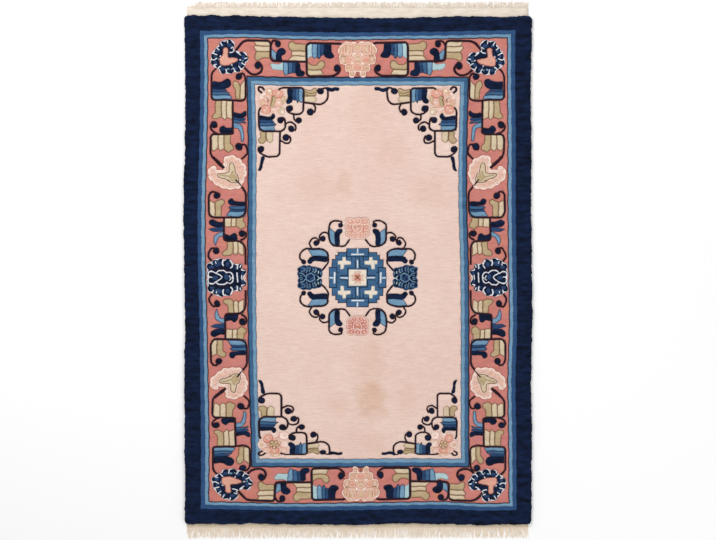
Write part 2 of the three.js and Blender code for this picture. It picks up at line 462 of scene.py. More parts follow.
def end_border(q):
    """One quarter of an end border, from the middle flower to the corner flower."""
    place = end_zone(q)
    leaves(place, (
        # wheat fan behind the outer vine
        ("cream", 87, 2.4, 104, 2.8, 101.6, 7.2, 87, 7.6),
        ("cream", 87, 7.6, 103, 7.4, 104, 9, 101, 13, 87, 13),
        ("tan", 87, 13, 101, 13, 102.8, 17, 103, 20.6, 101, 22.4, 98, 21, 95, 19.4, 87, 19.4),
        # small light blue leaf and navy bud leaf inside the vine's turn
        ("light", 86.5, 9.5, 81, 14.2, 80.8, 21, 84.6, 20, 86.5, 15),
        ("bud", 81, 22.6, 75.5, 22.6, 75.8, 17, 72.6, 14.6, 72.2, 11.4, 75.2, 8.8, 79, 9.6, 81.2, 13.6),
        # wheat fan with its toe at the outer line
        ("cream", 51, 16.3, 65.5, 16.3, 69.5, 21.2, 51, 21.6),
        ("cream", 51, 11.2, 66.3, 11.7, 65.8, 16.3, 51, 16.3),
        ("tan", 51, 4.3, 61.7, 4.1, 65, 1.3, 67.8, 2.3, 69.3, 6, 68.2, 9.4, 65.5, 11.3, 51, 11.2),
        # indigo fan that hangs from the outer run
        ("ice", 50.6, 3, 50.2, 19.6, 46.9, 16.9, 45.7, 18, 45.4, 3),
        ("light", 45.4, 3, 45.4, 16.8, 43.4, 19, 40.4, 16.6, 40.2, 3),
        ("mid", 40.2, 3, 40.3, 17.4, 38.6, 19.4, 37, 17, 36.8, 3),
        ("deep", 37, 3, 36.8, 16.4, 33.6, 14.8, 33.4, 3),
        ("navy", 33.8, 3.3, 33.8, 15.8, 30.3, 18.9, 25, 18.5, 22.6, 16, 26.4, 11.6, 26.4, 3.3),
        # wheat fan inside the inner turn
        ("cream", 50.6, 30.6, 36.4, 30.6, 33.6, 35.8, 50.6, 36),
        ("tan", 50.6, 22, 48, 24.6, 44.6, 25.8, 40.8, 25.4, 38.9, 22.4, 36.5, 21, 34, 21.7, 32.6, 25,
         33.7, 28.6, 37, 30.6, 50.6, 30.6),
        # indigo fan that hangs from the middle run
        ("ice", 74.6, 23, 79.3, 25.4, 86.4, 24.2, 87.4, 26.4, 84.4, 31, 74.4, 31.2),
        ("light", 74.6, 23, 74.3, 32, 72, 36.6, 69.5, 35, 69.5, 23),
        ("mid", 69.5, 23, 69.5, 35, 65.5, 34.2, 64.6, 23),
        ("deep", 64.8, 23, 65.2, 34, 60, 33.6, 60.4, 23),
        ("navy", 62, 23, 62.6, 33.2, 60.8, 37, 54.4, 37.4, 52.6, 34.6, 54, 31.8, 57.1, 30.9, 57.2, 23),
    ))
    vines(place, (
        (5, END_INK, 123.5, 14.5, 113.5, 2.1, 87, 1.6, 87, 22, 52, 22.2),
        (4, END_INK, 14, 5, 18, 3, 51, 3, 51, 37, 23, 37, 18, 33, 17.6, 29, 19.6, 26.4),
    ))
    strokes(place, (
        ("ink", END_INK, 1, 0.9, 114.5, 28, 108.5, 34.6, 102.5, 36.3, 97, 33.9, 95.4, 29.4, 97.4, 25.4),
        ("ink", INK, 1, 0.9, 86.8, 6.4, 84.4, 2, 80.4, 1.2),
    ))
    buds(place, ((99.6, 26.8, 3.3, 4), (79.6, 4.4, 3, 3.7), (20.8, 29, 3, 4)))


def side_border(q):
    """One quarter of a side border, from the middle flower to the corner flower."""
    place = side_zone(q)
    leaves(place, (
        # indigo fan, opening inwards
        ("light", 182.6, 4, 182.4, 23.6, 179, 25, 178, 4),
        ("mid", 186, 4, 185.4, 21.4, 182.6, 23, 182.6, 4),
        ("deep", 189, 4, 188.6, 18, 186, 20.4, 185.8, 4),
        ("navy", 196.6, 4, 195.6, 10, 196.4, 15, 199, 18.6, 198.6, 22.6, 194.6, 24.2, 190.6, 22.6,
         188.4, 18, 188.4, 4),
        # wheat fan, opening to the corner
        ("cream", 178.4, 33.4, 192, 33.6, 197.4, 38.6, 178.4, 39),
        ("tan", 178.4, 28.9, 187.4, 28.5, 192, 25.6, 196, 26.6, 197, 29, 194.6, 32.2, 190, 33.5,
         178.4, 33.4),
        # wheat fan, hanging
        ("cream", 177, 19, 160.5, 19, 157.6, 24.6, 177, 24.8),
        ("cream", 177, 13.8, 160.9, 13.9, 157.4, 17.4, 160.5, 19, 177, 19),
        ("tan", 177, 7.6, 165, 7.4, 162.4, 4.6, 159.5, 4.4, 158.2, 8.6, 160.9, 13.9, 177, 13.8),
        # indigo fan with a long tail
        ("light", 155.3, 26, 153.8, 32.4, 150.2, 35.4, 143.6, 36.4, 136.3, 36, 136.3, 33.8, 144.8, 33,
         149.4, 31, 150, 26),
        ("mid", 158, 26, 157.4, 33, 155.4, 38, 154, 38.4, 155, 33, 155, 26),
        ("deep", 161, 26, 160.4, 33, 159, 38.5, 156.6, 37.4, 157.4, 33, 157.6, 26),
        ("navy", 165.6, 26, 164.3, 31.6, 164.6, 35.6, 167, 37.6, 166, 40, 161.6, 39.6, 159.6, 36.3,
         160.4, 26),
        # navy bud leaf on the run, with its bulb
        ("bud", 149.5, 25.4, 149.6, 19, 152, 16.4, 150.6, 12.8, 147, 11.6, 144, 14.6, 143.6, 25.4),
        # wheat fan over the heart flower
        ("cream", 143, 4, 129, 4.4, 126.3, 6.4, 129.7, 10.6, 143, 10.8),
        ("cream", 143, 10.8, 129.4, 10.6, 126.4, 13, 129, 16.6, 143, 16.6),
        ("tan", 143, 16.6, 128.6, 16.6, 125, 20.7, 128.3, 26.2, 131.8, 25.8, 135, 23, 143, 23),
        # wheat fan on the flower's far side, opening to the flower
        ("cream", 60.5, 3.4, 77.6, 3.6, 74.6, 8.7, 60.5, 9.1),
        ("tan", 60.5, 9.1, 75.4, 9, 76.8, 11.6, 78.6, 15, 76.4, 18.2, 73.8, 18, 71.5, 15.1, 60.5, 14.6),
        # indigo fan, opening outwards
        ("light", 66, 38.2, 66, 22.6, 61.4, 19.6, 60.8, 38.2),
        ("deep", 68.4, 38.2, 68.4, 24, 66, 22, 66, 38.2),
        ("mid", 71.8, 38.2, 71.6, 24.6, 69.8, 22, 68.2, 24.4, 68.2, 38.2),
        ("navy", 76, 38.2, 76.2, 27, 79, 26, 79, 22.6, 76, 20.8, 72.4, 23, 71.6, 38.2),
        # wheat fan hanging under the run
        ("cream", 60, 18.2, 50.4, 18.5, 51, 24.8, 60, 24.8),
        ("cream", 60, 24.8, 51, 24.8, 51, 29.3, 60, 29.4),
        ("tan", 60, 29.4, 51.6, 29.3, 48, 34, 51, 39, 54.6, 38, 56.4, 36.2, 60, 36.4),
        # indigo fan with a tail, opening outwards
        ("light", 46.3, 17.4, 44.6, 12.4, 41.5, 8.3, 36.2, 7.5, 31.7, 9.3, 36.5, 10.7, 40.4, 13,
         41.6, 17.4),
        ("deep", 50.4, 17.4, 50.2, 10, 48.4, 2.4, 46, 7, 46, 17.4),
        ("navy", 56, 17.4, 55.4, 12.9, 57.4, 9, 58.5, 5.7, 55.6, 2.4, 51.8, 4.4, 50.2, 10, 50.4, 17.4),
        ("bud", 43.4, 18, 42.4, 23.4, 44.4, 26.4, 43.8, 29, 41, 30.4, 37, 29.6, 37, 18),
        # wheat fan over the middle flower
        ("cream", 36, 31.3, 25, 31.2, 21.6, 36.4, 36, 36.7),
        ("cream", 36, 26.6, 24.6, 26.5, 22.4, 29.2, 25, 31.2, 36, 31.3),
        ("tan", 36, 20.8, 28.6, 20.6, 26.6, 17.6, 24, 15.8, 21.8, 17.6, 21.8, 23.7, 24.3, 26.5, 36, 26.6),
    ))
    vines(place, (
        (4, INK, 211, 10, 204, 3.2, 178, 3.2, 177.6, 23, 176.4, 34, 179, 39.2, 200, 39.4, 204.6, 36.4,
         203.4, 33),
        (4.5, INK, 177, 25.4, 143.6, 25.4, 143.4, 5, 140, 3.2, 124, 3.4, 118.5, 6.8, 112, 13),
    ))
    stroke(place, "ink", 2.7, 0.6, 0.9, 121, 5.4, 116.6, 9.6, 111, 15.4)
    vines(place, (
        (4, INK, 95.6, 30.6, 91, 34.4, 85, 39, 64.5, 38.8, 60.2, 34, 60, 6, 64.5, 2.8, 82.4, 2.6, 86, 5,
         86, 8.5, 84, 10.6),
        (3.5, INK, 60, 17.8, 37, 17.8, 36.6, 34, 31, 38.4, 13, 38.6),
    ))
    strokes(place, (
        ("ink", INK, 1, 0.9, 153, 3, 149, 3, 145.5, 6.2, 143.6, 11),
        ("ink", INK, 1, 0.9, 133, 34, 132.8, 38, 127.6, 39.9, 123.4, 39.2, 118.5, 34.2),
        ("ink", INK, 1, 0.9, 46.5, 36.4, 44, 39.1, 39.9, 38, 37.4, 33.8),
        ("ink", INK, 1, 0.9, 28.6, 9.4, 29.4, 6, 25, 3, 20.5, 2.6, 15.6, 6.3),
    ))
    buds(place, ((201.2, 32.4, 3.5), (152.8, 6.4, 3.6), (130.8, 31.6, 3.8), (82, 10.5, 3.4),
        (44, 35, 3.3), (26.6, 10.2, 3.5, 3.2)))


def corner_flower(q):
    """The indigo flower in a corner of the border, with its coral heart."""
    place = corner_zone(q)
    outline = bend(xy(26.4, 3.4, 27, 7, 26.4, 10.6, 28.6, 13.8, 33.4, 14.6, 39, 15.2, 41, 18.8, 40.6, 23,
        38, 27, 34.6, 31.4, 28.8, 33.6, 21.4, 35, 14, 34.2, 10.6, 30.8, 9, 28.8, 5, 27.4, 3, 21.4,
        4.8, 15.6, 5.6, 12.8, 9.6, 9.4, 12.4, 5.2, 17, 3, 22, 2.4), True)
    frills(place, outline, (("ivory", 0.1, 14, 1.2), ("navy", -1.1, 14, 2.2)))
    dots(place, "deep", ((22.8, 7, 3, 2), (37, 19.6, 2.2, 3.2), (34, 26, 2.4, 2.2),
        (28.4, 30.4, 2.2, 1.6), (15.6, 31, 2.6, 1.8), (7.4, 24.4, 2, 2.2), (7.2, 18, 1.6, 1.5),
        (9.6, 12.6, 2, 1.7), (15, 7.6, 2.2, 1.7), (12.4, 29, 1.6, 1.4)))
    dots(place, "light", ((20.8, 30.9, 1.6, 1.1), (11.4, 21.4, 0.9, 1.2), (24.4, 31.6, 0.9, 0.8),
        (36.6, 22.6, 0.8, 1)))
    for points in (
        (27.6, 12.2, 25, 14, 22, 14.2), (29.4, 13.6, 32.4, 16, 34.4, 17.4), (41, 19.6, 37.6, 20.6),
        (39.4, 27, 35, 24.4), (34.8, 31.8, 32, 27.6), (28.8, 34, 25.6, 29.8), (19.4, 35.2, 18.4, 30.4),
        (9.8, 30.8, 13.2, 27.6), (2.8, 20.8, 6, 21.4, 9.6, 19.6), (4.6, 14.4, 9.6, 16.4),
        (8.4, 9, 11.6, 11.6), (13, 3.8, 15, 7.6), (20.2, 2, 20.8, 5.4), (26.8, 8.6, 23.6, 10),
        (5, 27, 8.8, 26), (13.6, 17.6, 12, 18.6), (24.6, 26.4, 25.2, 28.4), (33, 21.4, 35, 22.6),
    ):
        stroke(place, "ivory", 1.15, 1.2, 0.4, *points)
    heart = bend(xy(15.8, 11, 18.2, 9.8, 20.4, 11, 20.6, 18.8, 26.6, 20, 31, 21.4, 29.2, 23.8, 25, 25.4,
        20.8, 26.8, 13.8, 26.8, 12.4, 24.4, 12.8, 20, 15.4, 17.4, 15.8, 14), True)
    patch(place, "rose", offset(heart, 0.6))
    patch(place, "coral", heart)
    strokes(place, (
        ("blush", 1.1, 0.5, 0.6, 18.4, 12.4, 18.2, 19.8, 16, 24),
        ("blush", 0.9, 0.6, 0.5, 19.6, 22.4, 27.6, 22),
    ))


def side_flower(q):
    """The pale peony of a side border, with a wheat heart."""
    place = side_zone(q)
    outline = bend(xy(107.4, 10, 110, 8.2, 110.8, 5, 108, 2.7, 103.6, 2.2, 100, 3, 96.6, 6, 93.4, 10.4,
        90.6, 15, 89.4, 19.4, 89.2, 25, 89.4, 30.6, 91.6, 33.4, 96, 35.4, 100, 37.4, 105, 38.2, 110, 37.8,
        115, 35, 118.8, 31.4, 121, 26.6, 121.6, 21.4, 119.4, 18, 115, 16.8, 110, 17, 107, 16), True)
    frills(place, outline, (("coral", 0.35, 15, 1.1), ("shell", -0.15, 15, 1.2), ("pink", -1.3, 15, 1),
        ("blush", -3.4, 15, 1.4)))
    for points in (
        (108.6, 3.4, 105.6, 9), (101, 3.4, 102.4, 9), (94.4, 9, 98.6, 12.6), (90.4, 16.4, 96, 18),
        (89.8, 23, 94.6, 23.4), (90.6, 31.4, 94.6, 28.8), (98, 36, 98.6, 32.6), (104.6, 37.6, 104.4, 31),
        (111, 36.8, 108.6, 29.4), (117.4, 32, 112.8, 27.4), (121, 25, 116, 24), (118.6, 18.6, 114.6, 21),
    ):
        stroke(place, "coral", 1.3, 0.9, 0.3, *points)
        stroke(place, "shell", 0.6, 1, 0.8, *points)
    heart = bend(xy(114.6, 23.4, 113.8, 26, 108.6, 27.8, 105, 28.2, 103.4, 30.2, 98.6, 31.8, 95.2, 31,
        95, 26, 96.4, 21.6, 98.6, 18, 99.4, 14, 102, 10.8, 104, 12, 104.2, 18, 106, 22, 111, 21.8), True)
    patch(place, "pink", offset(heart, 1.5))
    patch(place, "brown", offset(heart, 0.35))
    patch(place, "cream", offset(heart, -0.35))
    patch(place, "tan", bend(xy(107, 25.6, 104, 26.6, 101.4, 29.4, 97.4, 30, 96.4, 27, 98, 24, 101, 22.6,
        103.6, 24), True))
    strokes(place, (
        ("brown", 1, 0.9, 0.7, 97.4, 20.4, 96.8, 22.4),
        ("tan", 0.9, 0.6, 0.6, 102.4, 13, 101.6, 19, 100.4, 23),
        ("ink", 1.3, 0.5, 1, 98, 28.4, 95.6, 30.6, 92, 33.6),
        ("ink", 2.3, 1.1, 0.35, 118.5, 7.4, 114.4, 12.6, 109.4, 17.2),
    ))


def end_flower(q_left, q_right):
    """The middle flower of an end border, drawn over both quarters."""
    place = joined(end_zone, q_left, q_right)
    half = xy(0, 4, 2.4, 2.6, 5.2, 1.9, 9, 2.4, 13, 2.2, 14.8, 5, 18.2, 7.4, 18.8, 12, 17, 15.6,
        17.6, 19.6, 16.6, 23.2, 13.4, 24.6, 11.8, 26, 11.8, 31.4, 8, 31.8, 7.4, 37, 3.6, 37.2, 3, 32.6,
        0, 32)
    frills(place, bend(mirrored(half), True), (("coral", 0.6, 20, 0.8), ("shell", 0.1, 20, 0.8)))
    for s in (1, -1):
        for fill, inner, *points in (
            ("blush", "sand", 5.2, 3, 9, 2.8, 12.8, 2.8, 14.3, 6.2, 14.3, 11, 13.4, 15.2, 9, 16, 6, 15.2,
             5, 9),
            ("sand", "blush", 14.9, 6.6, 17.6, 8.4, 18.2, 12, 16.7, 15.2, 14.2, 16, 14.8, 11),
            ("sand", "blush", 12.2, 17, 16.6, 17, 17.2, 20.4, 15.8, 23.2, 12.8, 24, 11.5, 21.4),
            ("blush", "coral", 5.8, 16.6, 11.4, 17, 11, 21.2, 11.6, 24.2, 7.8, 24.6, 5.8, 21),
            ("sand", "blush", 5.9, 25.9, 11.2, 25.8, 11.2, 30.8, 6, 31.2),
            ("sand", "blush", 3.9, 32, 7, 32.2, 6.8, 36.4, 4.2, 36.6),
        ):
            petal(place, fill, inner, xy(*points, sx=s))
        strokes(place, (
            ("shell", 0.6, 1, 1, 9.6, 3, 8.6, 8, 10.6, 12.4, 10, 15.4),
            ("shell", 0.55, 1, 1, 14.4, 18, 15, 21, 13.6, 23.4),
            ("brown", 0.4, 1, 1, 16.6, 16.4, 11.4, 16.4),
            ("brown", 0.45, 1, 1, 5.2, 10.6, 3, 13.4),
            ("rosy", 0.4, 0.6, 0.6, 12.4, 5.4, 11.8, 9, 12.6, 12.4),
            ("shell", 0.6, 1, 1, 3, 32.4, 12, 31.8),
            ("rosy", 0.5, 1, 1, 8, 27.6, 9.6, 29.8),
        ), sx=s)
    for fill, inner, outline in (
        ("blush", "sand", mirrored(xy(0, 4.6, 2.2, 3.2, 4.6, 4, 4.6, 8.2, 2.6, 11.6, 0, 13.6))),
        ("blush", "sand", ellipse((0, 19.6), 5.3, 5.2, 12)),
        ("blush", "coral", mirrored(xy(0, 25.5, 5.4, 25.6, 5.4, 31.1, 0, 31.2))),
    ):
        petal(place, fill, inner, outline)
    strokes(place, (
        ("shell", 0.65, 1, 1, -2.6, 17.6, 0, 20.4, 2.6, 17.6),
        ("coral", 0.5, 1, 1, -2.4, 22.6, 0, 21.8, 2.4, 22.6),
        ("brown", 1, 0.6, 0.6, 0.2, 33.8, -0.2, 36.6),
    ))


def middle_side_flower(q_up, q_down):
    """The navy flower in the middle of a side border."""
    place = joined(side_zone, q_up, q_down)
    half = xy(0, 1.6, 7, 1.6, 13.6, 2.4, 15, 6, 17.8, 9.8, 18.4, 14, 17.2, 17, 17.8, 20.4, 16.6, 24.2,
        12.8, 26.6, 12.8, 33.6, 8.2, 34.4, 7.4, 37.6, 2.6, 38, 0, 35.4)
    outline = bend(mirrored(half), True)
    frills(place, outline, (("ivory", 0.3, 17, 1), ("navy", -1, 17, 2.1)))
    for s in (1, -1):
        dots(place, "deep", ((14, 11, 2.7, 4.2), (10, 5.6, 2.2, 2.6), (13.4, 20.8, 2.6, 2),
            (4.2, 35.6, 2, 1.2), (9.8, 30, 1.8, 2.2)), sx=s)
        for width, *points in (
            (1.5, 18.2, 17, 15, 15.8, 11.6, 17),
            (1.25, 17.4, 23, 14.8, 25.2, 11.6, 25.6, 9.4, 23.6),
            (1.3, 12.6, 30.6, 8.4, 30.4),
            (1.1, 12.6, 33.8, 9.8, 33),
            (1, 7.6, 34.2, 7, 37.6),
            (1.1, 15.6, 5.4, 12.4, 6.4),
            (0.9, 16.4, 9.2, 13.6, 9.8),
        ):
            stroke(place, "ivory", width, 1, 0.8, *points, sx=s)
        stroke(place, "ink", 1, 0.7, 0.7, 8.2, 3.4, 8.6, 9, 9.4, 15, 8, 20.4, 6.8, 25, sx=s)
    strokes(place, (
        ("ivory", 1.3, 1, 1, -5, 30.6, 5, 30.4),
        ("ivory", 1.1, 0.6, 0.6, -2.4, 35, 2.6, 35),
    ))
    clover = bend(mirrored(xy(0, 2.4, 5.4, 2.6, 5.8, 5.4, 4.8, 8.8, 6.8, 13.4, 7, 16.4, 5, 19.4, 5.2, 23,
        3.2, 25.8, 1, 26.2, 0, 24.6)), True)
    frills(place, clover, (("ivory", 0.3, 11, 0.9), ("navy", -0.9, 11, 0.9)))
    stroke(place, "ivory", 1.15, 1, 1, 4.8, 8.6, 3.4, 12, 0.4, 15.2, -2.8, 12, -4.8, 8.4)
    dots(place, "deep", ((0, 8.4, 2.2, 3.2), (0.6, 19.4, 3, 2.2)))
    strokes(place, (
        ("ivory", 1.1, 1, 0.6, 0.6, 2, 0.4, 5.8),
        ("ivory", 0.9, 0.8, 0.8, -2.6, 22, -1, 24, 2.2, 22.2),
    ))
    dots(place, "coral", ((0, 38.4, 2, 1.2),))


# Petals of a field flower: out and up from its heart, half sizes, yarn and inner yarn.
UPPER_PETALS = (
    (9.8, 5, 3.8, 4.2, "shell", "pink"),
    (3.6, 9.2, 4.4, 4, "sand", "shell"),
    (-8.4, 1.4, 4, 5, "sand", "cream"),
    (-8, -9.6, 3.8, 4.2, "cream", "shell"),
    (-4.8, -1.4, 4.2, 5, "blush", "pink"),
    (9.4, -2, 5, 4.4, "blush", "sand"),
    (0.8, -9.8, 4.6, 4.4, "pink", "blush"),
    (-4.6, 7.6, 6, 4.8, "coral", "blush"),
    (5.8, 3, 4.2, 4.4, "blush", "pink"),
    (7.8, -8.4, 5.4, 4.6, "coral", "blush"),
)
LOWER_PETALS = (
    (-9, -9.4, 4.8, 4.4, "shell", "pink"),
    (0.4, -10.2, 4.6, 4, "pink", "shell"),
    (-9.6, 0, 4.4, 4.8, "pink", "shell"),
    (-0.8, 12.4, 5, 3.2, "sand", "pink"),
    (10.4, 0.4, 4.6, 5.2, "pink", "sand"),
    (-8, 7.6, 5, 4.8, "blush", "pink"),
    (0.2, 7, 5.2, 4.8, "coral", "blush"),
    (7.6, 8, 4.8, 4.8, "blush", "pink"),
    (5.8, -7, 4.8, 5.2, "coral", "blush"),
)


def field_flower(place, middle, petals):
    """A full bloom of round petals, paler towards the field."""
    for out, up, rx, ry, fill, inner in petals:
        patch(place, "shell", ellipse((middle[0] + out, middle[1] + up), rx + 0.6, ry + 0.6))
    patch(place, "blush", ellipse(middle, 6.4, 7.4))
    for out, up, rx, ry, fill, inner in petals:
        x, y = middle[0] + out, middle[1] + up
        patch(place, "rosy" if fill == "coral" else "coral", ellipse((x, y), rx, ry))
        patch(place, fill, ellipse((x + 0.03 * out, y + 0.03 * up), rx - 0.45, ry - 0.45))
        patch(place, inner, ellipse((x + 0.12 * out, y + 0.12 * up), 0.42 * rx, 0.42 * ry, 9))
        stroke(place, "shell", 0.8, 1, 0.6, x - 0.34 * out, y - 0.34 * up, x - 0.08 * out, y - 0.08 * up)


def upper_field_heart(place, middle):
    """A short wheat stem among the petals."""
    x, y = middle
    stem = bend(xy(x - 0.4, y + 5.2, x - 0.6, y + 1, x + 0.4, y - 3, x + 0.8, y - 5.6))
    patch(place, "brown", ribbon([(x + 0.6, y + 0.4) for x, y in stem], 3.6, (0.5, 0.6)))
    patch(place, "tan", ribbon(stem, 3.4, (0.6, 0.6)))
    stroke(place, "brown", 0.6, 0.6, 0.6, x + 7.4, y + 3.8, x + 4.8, y + 0.8, x + 6.2, y - 1)


def lower_field_heart(place, middle):
    """A small wheat star, each ray outlined."""
    for turn in range(5):
        angle = 0.4 + turn * math.tau / 5
        centre = (middle[0] + 3.1 * math.cos(angle), middle[1] + 3.3 * math.sin(angle))
        patch(place, "brown", ellipse(centre, 2, 2.2, 10))
        patch(place, "sand", ellipse(centre, 1.55, 1.75, 10))
    patch(place, "tan", ellipse(middle, 2, 2.2, 10))


def field_corner(q):
    """The spray in a corner of the field: a bloom, its fans and its squared vines."""
    place = field_zone(q)
    if q["y"] > 0:
        middle = (84.2, 176.4)
        field_flower(place, middle, UPPER_PETALS)
        upper_field_heart(place, middle)
    else:
        middle = (84.6, 176.8)
        field_flower(place, middle, LOWER_PETALS)
        lower_field_heart(place, middle)
    stroke(place, "ink", 2, 1.1, 1.1, 95.6, 184.6, 99, 187.6, 98.4, 190.2, 95.4, 190.4, 93, 187.4)
    leaves(place, (
        # indigo fan under the upper run
        ("light", 59, 189.4, 58.8, 177.5, 57.6, 175.4, 54.6, 175.2, 54.6, 189.4),
        ("mid", 62, 189.4, 61.8, 178, 60.2, 174, 58.6, 177.5, 58.8, 189.4),
        ("deep", 65.8, 189.4, 65.4, 178, 62.4, 176.6, 61.4, 178.4, 61.6, 189.4),
        ("navy", 70.4, 189.4, 69.6, 179.5, 72, 177.6, 71.6, 174.6, 69, 173.4, 64.8, 176.6, 65, 189.4),
        # wheat fan beyond the vine
        ("pale", 53.6, 181.6, 43, 181.4, 40.6, 178, 43, 174.8, 53.6, 175.6),
        ("tan", 53.6, 189, 47.5, 187, 43.6, 189.4, 41.4, 189.4, 40.6, 186, 43, 181.4, 53.6, 181.6),
    ))
    strokes(place, (
        ("brown", 0.4, 1, 1, 53, 186.4, 47, 184, 42, 185),
        ("brown", 0.4, 1, 1, 52.6, 183.4, 46.6, 181.4, 41.6, 182),
    ))
    leaves(place, (
        # indigo fan beside the left vine
        ("light", 98.8, 151.6, 82.6, 151.9, 84, 149.6, 82.2, 147, 98.8, 147),
        ("mid", 98.8, 155, 83.6, 155, 80.8, 152.4, 98.8, 151.6),
        ("deep", 98.8, 158.2, 85, 157.8, 83, 155, 98.8, 154.8),
        ("navy", 98.8, 162.2, 87, 160.8, 85.8, 164, 83.6, 164.2, 82, 160.6, 84.4, 157.5, 98.8, 157.9),
        # wheat fan under the lower run
        ("pale", 91.6, 146, 91, 137, 88, 134.4, 84.6, 137, 84.6, 146),
        ("tan", 97.4, 146, 96.6, 141, 99.8, 137.6, 98.6, 135, 94.6, 134, 91.4, 136.6, 91.6, 146),
    ))
    stroke(place, "brown", 0.45, 1, 1, 91.2, 145.6, 91, 140, 90.2, 136)
    vines(place, (
        (3.5, INK, 79, 188, 76, 189.8, 53.9, 189.6, 54.3, 165.6, 58.7, 163.3, 66, 163.4, 70.4, 166.6,
         70.6, 170.6, 68.6, 171.4),
        (3.5, INK, 53.6, 175.4, 35.6, 173, 30, 177.4, 29.6, 188.6),
    ))
    stroke(place, "ink", 1.7, 1, 1, 38.4, 187, 33.4, 189.6, 29.4, 188.8)
    patch(place, "navy", bend(xy(31, 187.2, 26, 185.8, 22, 187.2, 18.8, 187, 18.4, 189.8, 22, 190.6,
        26, 189.4, 31, 190.6), True))
    vines(place, (
        (3.5, INK, 97, 170.4, 98.9, 167, 98.9, 149.6, 95, 146.6, 76, 146.4, 72, 149.6, 72, 155, 73.6, 160,
         76.4, 160),
        (3, INK, 77.8, 146.4, 77.8, 123.4, 80, 121, 92, 121, 98.4, 125.4, 98.4, 128.6),
    ))
    patch(place, "navy", bend(xy(93, 120.6, 94.6, 114, 95.2, 109.6, 97, 106.8, 99.6, 106.8, 98, 110.6,
        97.4, 114, 96.4, 120.6), True))
    strokes(place, (
        ("ink", 1.7, 1, 1, 44.8, 174.4, 42.4, 170, 43.6, 165),
        ("ink", 1.7, 1, 1, 63.9, 163.4, 63.6, 158.6, 60.4, 155.8),
        ("ink", 1.7, 1, 1, 72, 153.4, 67.4, 155.4, 62.6, 153.2, 61.6, 149.4, 63, 146.8),
        ("ink", 1.7, 1, 1, 77.7, 137.4, 72, 134.4, 67.6, 135.6, 67, 139.4, 68.6, 142),
    ))
    buds(place, ((67.6, 169, 3.4), (37.2, 186.6, 3.6, 3.2), (77, 157.6, 3.3), (96.6, 128.4, 3.5),
        (47.2, 165.6, 3.5), (59, 157.4, 3.2), (66.2, 148.8, 3.3), (71.6, 140, 3.5)))


def medallion_leaves(q):
    """The leaves and scrolls between two flowers of the medallion."""
    place = middle_zone(q)
    leaves(place, (
        ("light", 28.4, 50, 22.6, 45.4, 22.6, 32, 27.6, 36),
        ("navy", 22.9, 45.4, 20.6, 48.8, 15.8, 48.9, 14.8, 45.4, 17.6, 43.3, 17.9, 32, 22.9, 32),
        ("light", 50, 28, 33, 28, 30.4, 24.3, 30.4, 20.8, 45.6, 21.8),
        ("navy", 45.8, 22, 30, 21.4, 30, 15.6, 44.2, 16.6, 45.8, 13.9, 49.6, 15, 49, 19.2),
    ))
    patch(place, "navy", ellipse((47.4, 16.4), 2.7, 2.5))
    strokes(place, (
        ("ink", 1.7, 1, 1, 17, 53, 15.8, 55.8, 21.7, 57, 26.8, 54.7, 28.6, 50, 28.2, 37.5, 24, 32.2,
         18.8, 31.4, 13, 32.2, 7.6, 38.4),
        ("ink", 1.7, 1, 1, 54.4, 16.2, 57.2, 19, 57.2, 24.3, 52.7, 28.3, 44.6, 29, 36, 28.4, 30.3, 25.4,
         29.6, 20, 30, 14, 37, 6),
        ("ink", 1.6, 1, 1, 28.6, 43.6, 33.6, 45.2, 38, 42, 37.6, 38.2, 35.8, 37.4),
        ("ink", 1.6, 1, 1, 45.6, 29.5, 48, 34, 45.6, 38.6, 41.8, 39.8, 38.6, 37, 39.4, 34),
    ))
    buds(place, ((17, 52.3, 2.5), (53.8, 15.6, 2.5), (35, 38.8, 3), (41.2, 34.8, 3)))


def medallion_flower(q_left, q_right, outer, inner, wide, tall):
    """A squarish ring of petals round a heart."""
    whole = joined(middle_zone, q_left, q_right)
    foot = 38.4
    middle = 49.6

    def place(along, up):
        return whole(wide * along, foot + tall * (up - foot))

    petals = [(0, 57.3, 3.7, 3.2), (0, 41.6, 2.8, 2.7)]
    for s in (1, -1):
        petals += [
            (8.6 * s, 45, 3.4, 3.3), (9.7 * s, 51, 3.1, 3.4),
            (4.2 * s, 41.8, 3.3, 2.8), (7.4 * s, 57, 4.2, 3.4),
        ]
    for yarn, grown in (("rosy", 0.8), ("shell", 0.4)):
        for x, y, rx, ry in petals:
            patch(place, yarn, ellipse((x, y), rx + grown, ry + grown))
    patch(place, outer, ellipse((0, middle), 7.2, 6.6))
    for x, y, rx, ry in petals:
        out, up = x / 11, (y - middle) / 9
        patch(place, "shell", ellipse((x, y), rx + 0.15, ry + 0.15))
        patch(place, outer, ellipse((x, y), rx - 0.45, ry - 0.45))
        patch(place, inner, ellipse((x + 0.8 * out, y + 0.8 * up), 0.55 * rx, 0.55 * ry, 9))
        stroke(place, "shell", 0.6, 1, 0.5, x - 1.8 * out, y - 1.8 * up, x + 1.6 * out, y + 1.6 * up)
    for s in (1, -1):
        strokes(place, (
            ("rosy", 0.6, 0.6, 0.6, 6.4, middle + 3.6, 6.8, middle, 5.6, middle - 4),
            ("sand", 0.8, 1, 0.6, 11.4, middle + 2.4, 9.6, middle + 1),
            ("sand", 0.8, 1, 0.6, 9, 43.4, 7.2, 45.4),
        ), sx=s)
    heart = bend(mirrored(xy(0, 53.2, 2.4, 54.6, 5.1, 53.4, 5.3, 49.6, 3.2, 46.2, 0, 45)), True)
    patch(place, "shell", heart)
    patch(place, outer, offset(heart, -0.9))
    patch(place, inner, offset(heart, -2.1))
    strokes(place, (
        ("brown", 0.6, 1, 1, -2.4, 51.6, -1, 50.6),
        ("brown", 0.6, 1, 1, 2.6, 51.2, 1.2, 50),
        ("shell", 0.7, 1, 1, -1, 48.8, 0.2, 47.6, 1.4, 48.8),
    ))


